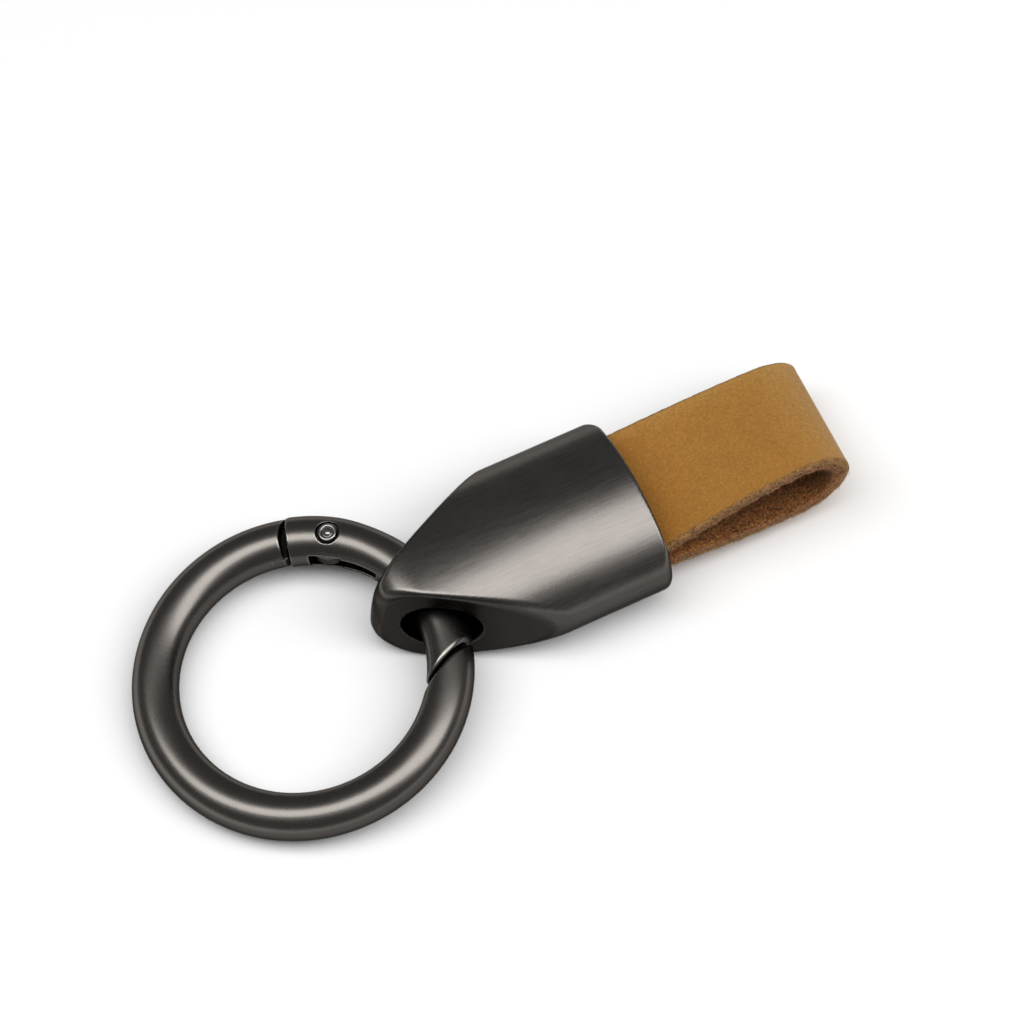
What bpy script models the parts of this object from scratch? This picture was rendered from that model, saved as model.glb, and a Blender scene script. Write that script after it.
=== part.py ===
"""Key clip: a spring-gate ring threaded through the eye of a cast hood that holds a folded leather loop.

Frame: metres, +X from the ring towards the strap, +Y away from the viewer, +Z up.
The origin is the middle of the flat ground on the hood's underside, on which the clip rests.
"""

from math import asin, ceil, cos, degrees, hypot, pi, radians, sin, tan

import bmesh
import bpy
from mathutils import Matrix, Vector

# Unit
MM = 0.001

# Clearances
SEAT_GAP = 0.3 * MM
HINGE_GAP = 0.1 * MM
CUTTER_OVERRUN = 1.0 * MM

# Hood
EYE_BEHIND_ORIGIN = 12.0 * MM
HOOD_NOSE_LENGTH = 6.05 * MM
HOOD_REAR_LENGTH = 23.36 * MM
HOOD_HALF_WIDTH = 9.9 * MM
HOOD_HALF_HEIGHT = 6.25 * MM
HOOD_SECTION_POWER = 2.1
UNDERSIDE_CUT = 0.2 * MM
CHEEK_HALF_WIDTH = 4.1 * MM
CHEEK_ANGLE = radians(28.5)
CHEEK_LEAN = radians(5.5)
RIDGE_SHARPNESS = 60.0
NOSE_ROUNDING = 4.0 * MM
NOSE_DROP_SHARE = 0.85
RIM_FILLET = 1.2 * MM
EYE_CLEARANCE = 1.2 * MM
EYE_FLARE = 0.1 * MM
EYE_LIP_SHARE = 0.65

# Strap
STRAP_WIDTH = 14.4 * MM
LEATHER = 1.95 * MM
LEG_GAP = 0.8 * MM
STRAP_TUCK = 11.2 * MM
CAVITY_CORNER = 0.6 * MM
LOOP_TO_BULGE = 15.9 * MM
LOOP_TO_FOLD = 21.3 * MM
FAR_FOLD_EXTRA = 1.3 * MM
BULGE_NEAR = 4.15 * MM
BULGE_FAR = 3.3 * MM
FAR_SAG = 0.35 * MM
NEAR_EDGE_LIFT = 1.4 * MM

# Strap screw
SCREW_RADIUS = 1.45 * MM
SCREW_FROM_REAR = 6.5 * MM
SCREW_RECESS = 0.2 * MM
SCREW_POINT = 0.6 * MM
SOCKET_ACROSS = 1.5 * MM
SOCKET_DEPTH = 1.2 * MM

# Ring
RING_RADIUS = 15.0 * MM
WIRE_RADIUS = 2.4 * MM
RING_BEHIND_EYE = 0.37 * MM
RING_ABOVE_EYE_FLOOR = 0.5 * MM
AXIS_BEFORE_EYE = 0.3 * MM
AXIS_BELOW_EYE = 0.1 * MM
RING_OFFSET_Y = -1.86 * MM
PIVOT_ANGLE = radians(54.3)
GATE_TAIL = 3.8 * MM
SHOULDER_GAP = 0.33 * MM
GATE_SWELL = 0.15 * MM
GATE_SWELL_END = radians(36.0)
CUT_ANGLE = radians(-23.7)
CUT_SLANT = radians(44.0)
CUT_GAP = 0.3 * MM

# Tongue of the ring body, which the gate's forked tail holds
TONGUE_THICKNESS = 1.6 * MM
KNUCKLE_RADIUS = 2.25 * MM
KNUCKLE_OUTER = 1.35 * MM
HEEL_REACH = 1.6 * MM
BAR_INNER = 1.0 * MM
BAR_ROOT = radians(5.0)

# Gate's pocket, window and spring channel
BAR_PLAY = 0.65 * MM
WINDOW_PAST_PIVOT = radians(7.7)
SLOT_HALF_HEIGHT = 0.65 * MM
SLOT_DEPTH = 1.9 * MM
SLOT_LENGTH_ANGLE = radians(25.3)
CHANNEL_LENGTH_ANGLE = radians(27.8)

# Hinge rivet
RIVET_RADIUS = 0.75 * MM
RIVET_HEAD_RADIUS = 0.95 * MM
RIVET_HEAD_PLAY = 0.25 * MM
RIVET_RECESS_DEPTH = 0.6 * MM
RIVET_GROOVE_DEPTH = 0.22 * MM
RIVET_DOME_RADIUS = 0.42 * MM

# Gate spring and its plunger
SPRING_WIRE_RADIUS = 0.15 * MM
SPRING_COIL_RADIUS = 0.8 * MM
SPRING_CURLS = 5
SPRING_POINTS_PER_CURL = 10
PLUNGER_OFFSET = 0.8 * MM
PLUNGER_HEAD = 0.5 * MM
PLUNGER_STEM_LENGTH = 2.4 * MM

# Mesh fineness
WIRE_SIDES = 24
DEGREES_PER_STEP = 5.0
ROUND_SIDES = 32
PLUNGER_SIDES = 20
SMOOTH_ANGLE = radians(30.0)
LEAST_RIDGE_ANGLE = radians(12.0)
LEAST_SHARE = 1e-6
RIDGE_ROUNDS = 24

# Sizes and places that follow from those above
EYE_RADIUS = WIRE_RADIUS + EYE_CLEARANCE
HOOD_MID_Z = HOOD_HALF_HEIGHT - UNDERSIDE_CUT
EYE_X = -EYE_BEHIND_ORIGIN
NOSE_X = EYE_X - HOOD_NOSE_LENGTH
RIM_X = EYE_X + HOOD_REAR_LENGTH
SCREW_LENGTH = HOOD_MID_Z - LEG_GAP / 2 - LEATHER - SEAT_GAP - SCREW_RECESS
CHANNEL_RADIUS = SPRING_COIL_RADIUS + SPRING_WIRE_RADIUS + SEAT_GAP
EYE_WIRE_X = EYE_X + RING_BEHIND_EYE
EYE_WIRE_Z = HOOD_MID_Z - EYE_RADIUS + RING_ABOVE_EYE_FLOOR + WIRE_RADIUS
RING_TILT = asin((EYE_WIRE_Z - WIRE_RADIUS) / (2 * RING_RADIUS))
GATE_TAIL_ANGLE = PIVOT_ANGLE + 2 * asin(GATE_TAIL / (2 * RING_RADIUS))
SHOULDER_RADIUS = hypot(GATE_TAIL, WIRE_RADIUS + GATE_SWELL) + SHOULDER_GAP
SHOULDER_ANGLE = PIVOT_ANGLE + 2 * asin(SHOULDER_RADIUS / (2 * RING_RADIUS))
CHANNEL_END_ANGLE = PIVOT_ANGLE - CHANNEL_LENGTH_ANGLE


def clear_scene():
    """Remove every object that the file opened with."""
    for obj in list(bpy.data.objects):
        bpy.data.objects.remove(obj)


def paint(obj, color, roughness, metallic):
    """Give an object its own Principled material."""
    material = bpy.data.materials.new(obj.name)
    material.use_nodes = True
    shader = material.node_tree.nodes["Principled BSDF"]
    shader.inputs["Base Color"].default_value = (*color, 1.0)
    shader.inputs["Roughness"].default_value = roughness
    shader.inputs["Metallic"].default_value = metallic
    obj.data.materials.append(material)


def mesh_object(name, rings):
    """Make an object from rings of points: each ring joins the next, and the two ends are capped."""
    mesh = bpy.data.meshes.new(name)
    bm = bmesh.new()
    loops = [[bm.verts.new(point) for point in ring] for ring in rings]
    for low, high in zip(loops, loops[1:]):
        for i in range(len(low)):
            j = (i + 1) % len(low)
            bm.faces.new((low[i], low[j], high[j], high[i]))
    bm.faces.new(reversed(loops[0]))
    bm.faces.new(loops[-1])
    bmesh.ops.recalc_face_normals(bm, faces=bm.faces)
    bmesh.ops.triangulate(bm, faces=bm.faces)
    bm.to_mesh(mesh)
    bm.free()
    obj = bpy.data.objects.new(name, mesh)
    bpy.context.collection.objects.link(obj)
    return obj


def smooth(obj):
    """Shade round faces smooth and keep the sharp edges."""
    obj.data.shade_smooth()
    obj.data.set_sharp_from_angle(angle=SMOOTH_ANGLE)


def as_cutter(obj):
    """Mark an object as a cutter, which is a guide and no piece."""
    obj.hide_render = True
    obj.display_type = "WIRE"


def boolean(target, tool, operation):
    """Join a tool to its target, or cut it out, with an exact Boolean."""
    as_cutter(tool)
    modifier = target.modifiers.new(f"{operation.lower()} {tool.name}", "BOOLEAN")
    modifier.operation = operation
    modifier.solver = "EXACT"
    modifier.object = tool


def circle(radius, count):
    """Points of a circle as pairs."""
    return [(radius * cos(2 * pi * i / count), radius * sin(2 * pi * i / count)) for i in range(count)]


def turned(name, profile, count=ROUND_SIDES):
    """Turn a profile of (radius, height) pairs about Z, from its lower end to its upper end."""
    rings = [[(x, y, height) for x, y in circle(radius, count)] for radius, height in profile]
    return mesh_object(name, rings)


def prism(name, outline, half_height):
    """Extrude an outline in the XY plane by half a height each way."""
    return mesh_object(name, [[(x, y, z) for x, y in outline] for z in (-half_height, half_height)])


def blend(share):
    """Ease a share from 0 to 1."""
    share = min(max(share, 0.0), 1.0)
    return share * share * (3 - 2 * share)


# Hood


def rounding(share):
    """Height of a quarter circle at a share of its run, from 0 at its start to 1 at its end."""
    return 1 - (1 - min(max(share, 0.0), 1.0) ** 2) ** 0.5


def cheek_half_width(x, rise=0.0):
    """Half the hood's width between its slanted side flats, the cheeks, at a height above its axis."""
    return CHEEK_HALF_WIDTH + (x - EYE_X) * tan(CHEEK_ANGLE) - rise * tan(CHEEK_LEAN)


def hood_station(x):
    """Half height, cheek half width and inset of the hood's section at x."""
    nose = rounding((NOSE_X + NOSE_ROUNDING - x) / NOSE_ROUNDING)
    rim = rounding((x - RIM_X + RIM_FILLET) / RIM_FILLET)
    half_height = HOOD_HALF_HEIGHT * (1 - NOSE_DROP_SHARE * nose)
    return half_height, cheek_half_width(x), RIM_FILLET * rim


def hood_reaches(angle, half_height, cheek):
    """Distances from the hood's axis to its oval and to its cheek at an angle round the axis."""
    across = abs(cos(angle))
    up = abs(sin(angle))
    power = HOOD_SECTION_POWER
    oval = ((across / HOOD_HALF_WIDTH) ** power + (up / half_height) ** power) ** (-1 / power)
    return oval, cheek / max(across + sin(angle) * tan(CHEEK_LEAN), LEAST_SHARE)


def ridge_angle(half_height, cheek, side):
    """Angle round the axis, above it (side 1) or below it (side -1), of the ridge that ends a cheek."""
    low, high = LEAST_RIDGE_ANGLE, pi / 2
    for _ in range(RIDGE_ROUNDS):
        middle = (low + high) / 2
        oval, flat = hood_reaches(side * middle, half_height, cheek)
        low, high = (middle, high) if flat < oval else (low, middle)
    return low


def hood_section(x, side_steps=8, top_steps=20):
    """Points of the hood's section at x, with corners of the mesh along the ridges of the cheeks."""
    half_height, cheek, inset = hood_station(x)
    upper, lower = (ridge_angle(half_height, cheek, side) for side in (1, -1))
    angles = []
    for start, end, steps in (
        (-lower, upper, side_steps),
        (upper, pi - upper, top_steps),
        (pi - upper, pi + lower, side_steps),
        (pi + lower, 2 * pi - lower, top_steps),
    ):
        angles += [start + (end - start) * i / steps for i in range(steps)]
    points = []
    for angle in angles:
        oval, flat = hood_reaches(angle, half_height, cheek)
        ratio = min(oval, flat) / max(oval, flat)
        reach = min(oval, flat) * (1 + ratio**RIDGE_SHARPNESS) ** (-1 / RIDGE_SHARPNESS) - inset
        if sin(angle) < 0:
            reach = min(reach, (HOOD_MID_Z - inset) / max(-sin(angle), LEAST_SHARE))
        points.append((x, reach * cos(angle), HOOD_MID_Z + reach * sin(angle)))
    return points


def hood_stations():
    """Places along the hood at which its section is drawn, closer together in its roundings."""
    bend = EYE_X + (HOOD_HALF_WIDTH - CHEEK_HALF_WIDTH) / tan(CHEEK_ANGLE)
    nose = [NOSE_X + NOSE_ROUNDING * (1 - cos(radians(turn))) for turn in (0, 18, 36, 54, 72, 90)]
    wedge_steps = 9
    wedge = [nose[-1] + (bend - nose[-1]) * i / wedge_steps for i in range(1, wedge_steps + 1)]
    body_start = RIM_X - RIM_FILLET
    body_steps = 5
    body = [bend + (body_start - bend) * i / body_steps for i in range(1, body_steps + 1)]
    rim = [body_start + RIM_FILLET * sin(radians(turn)) for turn in (22, 45, 67, 90)]
    return nose + wedge + body + rim


def eye_cutter():
    """Cutter of the eye: a round hole along Y, whose mouths open with a deep, rounded lip at the cheeks."""
    mouth = [(CUTTER_OVERRUN, 0, EYE_FLARE + CUTTER_OVERRUN)]
    for turn in (20, 40, 65, 90):
        mouth.append((0, EYE_LIP_SHARE * (1 - cos(radians(turn))), EYE_FLARE * (1 - sin(radians(turn)))))
    rings = []
    for side, steps in ((-1, mouth), (1, reversed(mouth))):
        for overrun, depth_share, flare in steps:
            ring = []
            for x, z in circle(EYE_RADIUS + flare, ROUND_SIDES):
                y = side * (cheek_half_width(EYE_X + x, z) * (1 - depth_share) + overrun)
                ring.append((EYE_X + x, y, HOOD_MID_Z + z))
            rings.append(ring)
    return mesh_object("eye cutter", rings)


def rounded_rectangle(half_width, half_height, corner, steps=4):
    """Outline of a rectangle with round corners, as pairs."""
    points = []
    for quarter in range(4):
        sign_x = 1 if quarter in (0, 3) else -1
        sign_y = 1 if quarter in (0, 1) else -1
        for step in range(steps + 1):
            angle = (quarter + step / steps) * pi / 2
            x = sign_x * (half_width - corner) + corner * cos(angle)
            y = sign_y * (half_height - corner) + corner * sin(angle)
            points.append((x, y))
    return points


def cavity_cutter():
    """Cutter of the pocket behind the rim that takes the two ends of the strap."""
    half_width = STRAP_WIDTH / 2 + SEAT_GAP
    half_height = LEATHER + LEG_GAP / 2 + SEAT_GAP
    outline = rounded_rectangle(half_width, half_height, CAVITY_CORNER)
    ends = (RIM_X - STRAP_TUCK - SEAT_GAP, RIM_X + CUTTER_OVERRUN)
    return mesh_object("cavity cutter", [[(x, y, HOOD_MID_Z + z) for y, z in outline] for x in ends])


def screw_x():
    """Place of the strap screw along the hood."""
    return RIM_X - SCREW_FROM_REAR


def screw_hole_cutter():
    """Cutter of the screw's hole, from the underside into the cavity."""
    radius = SCREW_RADIUS + HINGE_GAP
    tool = turned("screw hole cutter", [(radius, -CUTTER_OVERRUN), (radius, HOOD_MID_Z)])
    tool.location = (screw_x(), 0, 0)
    return tool


def make_hood():
    """Cast hood: an oval body with two slanted cheeks, an eye across its nose and a pocket for the strap."""
    hood = mesh_object("hood", [hood_section(x) for x in hood_stations()])
    for tool in (eye_cutter(), cavity_cutter(), screw_hole_cutter()):
        boolean(hood, tool, "DIFFERENCE")
    smooth(hood)
    paint(hood, (0.09, 0.085, 0.08), 0.38, 1.0)
    return hood


# Strap


def strap_leg(y, bulge):
    """One half of the leather's middle line at y, above the hood's axis: from its tucked end to the fold."""
    to_bulge = LOOP_TO_BULGE + FAR_FOLD_EXTRA * (y / STRAP_WIDTH + 0.5)
    fold = LOOP_TO_FOLD - LOOP_TO_BULGE - LEATHER / 2
    leg = (LEATHER + LEG_GAP) / 2
    tuck_steps, rise_steps, fold_steps = 4, 12, 8
    line = [(RIM_X - STRAP_TUCK * (1 - i / tuck_steps), leg) for i in range(tuck_steps)]
    for i in range(rise_steps):
        share = i / rise_steps
        line.append((RIM_X + to_bulge * share, leg + (bulge - leg) * sin(share * pi / 2)))
    for i in range(fold_steps):
        angle = pi / 2 * (1 - i / fold_steps)
        line.append((RIM_X + to_bulge + fold * cos(angle), bulge * sin(angle)))
    return line + [(RIM_X + to_bulge + fold, 0)]


def strap_line(y):
    """Middle line of the leather in the XZ plane at y, from one tucked end round the loop to the other."""
    across_share = y / STRAP_WIDTH + 0.5
    bulge = BULGE_NEAR + (BULGE_FAR - BULGE_NEAR) * across_share
    upper = strap_leg(y, bulge)
    lower = [(x, -z) for x, z in strap_leg(y, bulge + FAR_SAG * across_share)]
    lifted = []
    for x, z in upper + lower[-2::-1]:
        share = min(max((x - RIM_X) / LOOP_TO_FOLD, 0.0), 1.0)
        lift = -2 * y / STRAP_WIDTH * NEAR_EDGE_LIFT * sin(share * pi / 2)
        lifted.append((x, HOOD_MID_Z + z + lift))
    return lifted


def strap_outline(y):
    """Closed outline of the leather at y: its outer face, then its inner face back again."""
    line = strap_line(y)
    outer, inner = [], []
    for i, (x, z) in enumerate(line):
        before = line[max(i - 1, 0)]
        after = line[min(i + 1, len(line) - 1)]
        run, rise = after[0] - before[0], after[1] - before[1]
        length = hypot(run, rise)
        normal = (-rise / length, run / length)
        outer.append((x + normal[0] * LEATHER / 2, z + normal[1] * LEATHER / 2))
        inner.append((x - normal[0] * LEATHER / 2, z - normal[1] * LEATHER / 2))
    return outer + inner[::-1]


def make_strap():
    """Leather strap: one band, folded into a loop, with both its ends tucked into the hood."""
    width_steps = 8
    places = [STRAP_WIDTH * (i / width_steps - 0.5) for i in range(width_steps + 1)]
    strap = mesh_object("strap", [[(x, y, z) for x, z in strap_outline(y)] for y in places])
    smooth(strap)
    paint(strap, (0.38, 0.18, 0.035), 0.85, 0.0)
    return strap


def make_strap_screw():
    """Grub screw in the hood's underside: its point bears on the tucked ends of the strap."""
    screw = turned(
        "strap_screw",
        [
            (SCREW_RADIUS, 0),
            (SCREW_RADIUS, SCREW_LENGTH - SCREW_POINT),
            (SCREW_RADIUS - SCREW_POINT, SCREW_LENGTH),
        ],
    )
    socket = prism("socket cutter", circle(SOCKET_ACROSS / 2 / cos(pi / 6), 6), SOCKET_DEPTH)
    screw.location = socket.location = (screw_x(), 0, SCREW_RECESS)
    boolean(screw, socket, "DIFFERENCE")
    smooth(screw)
    paint(screw, (0.06, 0.06, 0.06), 0.4, 1.0)
    return screw


# Ring: its pieces are drawn round the ring's centre, with the eye at angle 0, then moved to their own origins


def ring_spot(angle, radius=RING_RADIUS, height=0.0):
    """A point of the ring's own frame, by angle, distance from the centre and height above its plane."""
    return Vector((radius * cos(angle), radius * sin(angle), height))


def gate_wire_radius(angle):
    """Wire radius along the gate, which swells towards its tail."""
    return WIRE_RADIUS + GATE_SWELL * blend((angle - GATE_SWELL_END) / (PIVOT_ANGLE - GATE_SWELL_END))


def wire_arc(name, start, end, wire_radius):
    """Round wire bent to an arc of the ring between two angles."""
    steps = ceil(abs(degrees(end - start)) / DEGREES_PER_STEP)
    rings = []
    for i in range(steps + 1):
        angle = start + (end - start) * i / steps
        section = circle(wire_radius(angle), WIRE_SIDES)
        rings.append([ring_spot(angle, RING_RADIUS + out, height) for out, height in section])
    return mesh_object(name, rings)


def arc_spots(start, end, radius):
    """Points of an arc round the ring's centre, from one angle to another."""
    steps = ceil(abs(degrees(end - start)) / DEGREES_PER_STEP)
    return [ring_spot(start + (end - start) * i / steps, radius).xy for i in range(steps + 1)]


def sector(name, start, end, inner, outer, half_height):
    """Block that follows the ring between two angles and two distances from its centre."""
    return prism(name, arc_spots(start, end, outer) + arc_spots(end, start, inner), half_height)


def cut_block(name, side):
    """Block that ends at the slanted cut between the gate's nose and the ring body, on one side of it."""
    size = 4 * WIRE_RADIUS
    block = prism(name, [(-size, 0), (size, 0), (size, size), (-size, size)], size)
    spot = ring_spot(CUT_ANGLE)
    turn = CUT_ANGLE + CUT_SLANT
    if side < 0:
        turn += pi
    away = Vector((-sin(turn), cos(turn), 0)) * CUT_GAP / 2
    block.matrix_world = Matrix.Translation(spot - away) @ Matrix.Rotation(turn, 4, "Z")
    return block


def pivot_hole_cutter(name, radius, low, high):
    """Round cutter along the hinge axis."""
    tool = turned(name, [(radius, low), (radius, high)])
    tool.location = ring_spot(PIVOT_ANGLE)
    return tool


def knuckle():
    """Round end of the tongue: flush on the inner side, lower on the outer one, flat at the spring's heel."""
    outline = []
    for x, y in circle(KNUCKLE_RADIUS, ROUND_SIDES):
        outline.append((min(x, KNUCKLE_OUTER), max(y, -HEEL_REACH)))
    tool = prism("knuckle", outline, TONGUE_THICKNESS / 2)
    tool.matrix_world = Matrix.Translation(ring_spot(PIVOT_ANGLE)) @ Matrix.Rotation(PIVOT_ANGLE, 4, "Z")
    return tool


def make_ring_body():
    """Fixed part of the ring: a hollow shoulder and thin tongue at the hinge, a slanted nose at the gate."""
    body = wire_arc("ring_body", (PIVOT_ANGLE + SHOULDER_ANGLE) / 2, 2 * pi, lambda angle: WIRE_RADIUS)
    reach = WIRE_RADIUS + CUTTER_OVERRUN
    boolean(body, pivot_hole_cutter("shoulder cutter", SHOULDER_RADIUS, -reach, reach), "DIFFERENCE")
    boolean(body, cut_block("body nose cutter", 1), "DIFFERENCE")
    inner = RING_RADIUS - BAR_INNER
    outer = RING_RADIUS + KNUCKLE_OUTER
    bar = sector("tongue bar", PIVOT_ANGLE, SHOULDER_ANGLE + BAR_ROOT, inner, outer, TONGUE_THICKNESS / 2)
    boolean(body, bar, "UNION")
    boolean(body, knuckle(), "UNION")
    hole = pivot_hole_cutter("tongue hole cutter", RIVET_RADIUS + HINGE_GAP, -reach, reach)
    boolean(body, hole, "DIFFERENCE")
    paint(body, (0.11, 0.105, 0.1), 0.36, 1.0)
    return body


def plunger_line():
    """Start and end of the spring channel's axis, from the tongue's heel to the channel's blind end."""
    out = Vector((cos(PIVOT_ANGLE), sin(PIVOT_ANGLE), 0))
    along = Vector((-sin(PIVOT_ANGLE), cos(PIVOT_ANGLE), 0))
    start = ring_spot(PIVOT_ANGLE) - along * (HEEL_REACH + SEAT_GAP) - out * PLUNGER_OFFSET
    return start, ring_spot(CHANNEL_END_ANGLE)


def along_channel(obj):
    """Stand an object that was turned about Z on the channel's axis, with its base at the heel."""
    start, end = plunger_line()
    turn = (end - start).to_track_quat("Z", "Y").to_matrix().to_4x4()
    obj.matrix_world = Matrix.Translation(start) @ turn


def channel_length():
    """Length of the spring channel from the tongue's heel."""
    start, end = plunger_line()
    return (end - start).length


def make_gate():
    """Sprung gate: the short arc of wire, forked round the tongue, with the spring's channel in it."""
    gate = wire_arc("gate", 2 * CUT_ANGLE, GATE_TAIL_ANGLE, gate_wire_radius)
    boolean(gate, cut_block("gate nose cutter", -1), "DIFFERENCE")
    half_slot = TONGUE_THICKNESS / 2 + SEAT_GAP
    heel_angle = PIVOT_ANGLE - asin((HEEL_REACH + SEAT_GAP) / RING_RADIUS)
    past_inner = RING_RADIUS - WIRE_RADIUS - CUTTER_OVERRUN
    pocket_outer = RING_RADIUS + KNUCKLE_OUTER + SEAT_GAP
    pocket_inner = RING_RADIUS - BAR_INNER - BAR_PLAY
    past_tail = GATE_TAIL_ANGLE + CUTTER_OVERRUN / RING_RADIUS
    window_start = PIVOT_ANGLE + WINDOW_PAST_PIVOT
    outline = arc_spots(heel_angle, past_tail, pocket_outer)
    outline += arc_spots(past_tail, window_start, pocket_inner)
    outline += arc_spots(window_start, heel_angle, past_inner)
    pocket = prism("pocket cutter", outline, half_slot)
    slot_outer = RING_RADIUS - WIRE_RADIUS + SLOT_DEPTH
    slot_end = PIVOT_ANGLE - SLOT_LENGTH_ANGLE
    slot = sector("slot cutter", slot_end, PIVOT_ANGLE, past_inner, slot_outer, SLOT_HALF_HEIGHT)
    channel = turned("channel cutter", [(CHANNEL_RADIUS, -SEAT_GAP), (CHANNEL_RADIUS, channel_length())])
    along_channel(channel)
    reach = WIRE_RADIUS + CUTTER_OVERRUN
    hole = pivot_hole_cutter("gate hole cutter", RIVET_RADIUS + HINGE_GAP, -reach, reach)
    for tool in (pocket, slot, channel, hole):
        boolean(gate, tool, "DIFFERENCE")
    floor = rivet_floor()
    for side in (-1, 1):
        low, high = sorted((side * floor, side * (reach + GATE_SWELL)))
        radius = RIVET_HEAD_RADIUS + RIVET_HEAD_PLAY
        boolean(gate, pivot_hole_cutter(f"recess cutter {side:+d}", radius, low, high), "DIFFERENCE")
    paint(gate, (0.11, 0.105, 0.1), 0.36, 1.0)
    return gate


def rivet_floor():
    """Height of the floor of the rivet's recess above the ring's plane."""
    return WIRE_RADIUS + GATE_SWELL - RIVET_RECESS_DEPTH


def make_hinge_rivet():
    """Hinge rivet: a shaft with a head at each end, each with a groove round a small dome."""
    seat = rivet_floor() + HINGE_GAP
    top = WIRE_RADIUS + GATE_SWELL - HINGE_GAP
    ring_inner = RIVET_DOME_RADIUS + RIVET_GROOVE_DEPTH
    dome = [
        (RIVET_DOME_RADIUS * cos(radians(a)), top - RIVET_GROOVE_DEPTH * (1 - sin(radians(a))))
        for a in (0, 30, 60, 80)
    ]
    half = [(RIVET_RADIUS, seat), (RIVET_HEAD_RADIUS, seat), (RIVET_HEAD_RADIUS, top), (ring_inner, top)]
    half += [(ring_inner, top - RIVET_GROOVE_DEPTH)] + dome
    profile = [(radius, -height) for radius, height in reversed(half)] + half
    rivet = turned("hinge_rivet", profile)
    rivet.location = ring_spot(PIVOT_ANGLE)
    paint(rivet, (0.3, 0.29, 0.28), 0.3, 1.0)
    return rivet


def make_spring_plunger():
    """Plunger: a flat head against the tongue's heel, on a stem inside the spring."""
    head_radius = SPRING_COIL_RADIUS + SPRING_WIRE_RADIUS
    stem_radius = SPRING_COIL_RADIUS - SPRING_WIRE_RADIUS - SEAT_GAP
    stem_end = PLUNGER_HEAD + PLUNGER_STEM_LENGTH
    profile = [(head_radius, 0), (head_radius, PLUNGER_HEAD)]
    profile += [(stem_radius, PLUNGER_HEAD), (stem_radius, stem_end)]
    plunger = turned("spring_plunger", profile, PLUNGER_SIDES)
    along_channel(plunger)
    paint(plunger, (0.35, 0.34, 0.33), 0.3, 1.0)
    return plunger


def spring_points():
    """Middle line of the spring about Z, from the plunger's head to the channel's blind end."""
    start = PLUNGER_HEAD + SEAT_GAP + SPRING_WIRE_RADIUS
    end = channel_length() - SEAT_GAP - SPRING_WIRE_RADIUS
    count = SPRING_CURLS * SPRING_POINTS_PER_CURL
    points = []
    for i in range(count + 1):
        angle = 2 * pi * i / SPRING_POINTS_PER_CURL
        height = start + (end - start) * i / count
        points.append(Vector((SPRING_COIL_RADIUS * cos(angle), SPRING_COIL_RADIUS * sin(angle), height)))
    return points


def least_gap(points, wire_radius, points_per_curl):
    """Least gap between a coil's turns, measured between points at least half a curl apart."""
    reach = points_per_curl // 2
    gaps = [(points[i] - points[j]).length for i in range(len(points)) for j in range(i + reach, len(points))]
    return min(gaps) - 2 * wire_radius


def make_gate_spring():
    """Compression spring between the plunger's head and the blind end of the gate's channel."""
    points = spring_points()
    curve = bpy.data.curves.new("gate_spring", "CURVE")
    curve.dimensions = "3D"
    curve.bevel_depth = SPRING_WIRE_RADIUS
    curve.bevel_resolution = 1
    curve.use_fill_caps = True
    spline = curve.splines.new("POLY")
    spline.points.add(len(points) - 1)
    for spot, point in zip(spline.points, points):
        spot.co = (*point, 1.0)
    spring = bpy.data.objects.new("gate_spring", curve)
    bpy.context.collection.objects.link(spring)
    along_channel(spring)
    paint(spring, (0.4, 0.39, 0.38), 0.3, 1.0)
    gap = least_gap(points, SPRING_WIRE_RADIUS, SPRING_POINTS_PER_CURL)
    print(f"gate_spring: least gap to itself {gap / MM:.2f} mm")
    return spring


def ring_frame():
    """Frame of the ring: origin at its centre, X towards the eye, Z square to its plane."""
    place = Vector((EYE_WIRE_X, RING_OFFSET_Y, EYE_WIRE_Z))
    tilt = Matrix.Rotation(-RING_TILT, 4, "Y")
    return Matrix.Translation(place) @ tilt @ Matrix.Translation((-RING_RADIUS, 0, 0))


def swing_axis():
    """Place of the axis along Y that the ring swings about, inside the eye."""
    return Matrix.Translation((EYE_X - AXIS_BEFORE_EYE, RING_OFFSET_Y, HOOD_MID_Z - AXIS_BELOW_EYE))


def make_empty(name, matrix, parent=None):
    """Empty that marks a joint's axis."""
    empty = bpy.data.objects.new(name, None)
    bpy.context.collection.objects.link(empty)
    empty.parent = parent
    empty.matrix_world = matrix
    return empty


def carry(objects, empty, frame):
    """Parent objects that were placed in the ring's own frame to an empty on their joint's axis."""
    for obj in objects:
        world = frame @ obj.matrix_world
        obj.parent = empty
        obj.matrix_parent_inverse = empty.matrix_world.inverted()
        obj.matrix_world = world


def make_ring():
    """Ring, gate and hinge, set in the eye and leaning down to the surface at their far side."""
    before = set(bpy.data.objects)
    ring_body = make_ring_body()
    body_objects = set(bpy.data.objects) - before
    gate = make_gate()
    rivet = make_hinge_rivet()
    make_gate_spring()
    gate_objects = set(bpy.data.objects) - before - body_objects
    plunger = make_spring_plunger()
    bpy.context.view_layer.update()
    frame = ring_frame()
    swing = make_empty("ring swing axis", swing_axis())
    hinge = make_empty("gate hinge axis", frame @ Matrix.Translation(ring_spot(PIVOT_ANGLE)), swing)
    channel = make_empty("plunger axis", frame @ Matrix.Translation(plunger_line()[0]), hinge)
    bpy.context.view_layer.update()
    carry(body_objects, swing, frame)
    carry(gate_objects, hinge, frame)
    carry([plunger], channel, frame)
    bpy.context.view_layer.update()
    for obj in (ring_body, gate, rivet, plunger):
        smooth(obj)


def main():
    """Model the key clip."""
    clear_scene()
    make_hood()
    make_strap()
    make_strap_screw()
    make_ring()


main()
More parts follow.
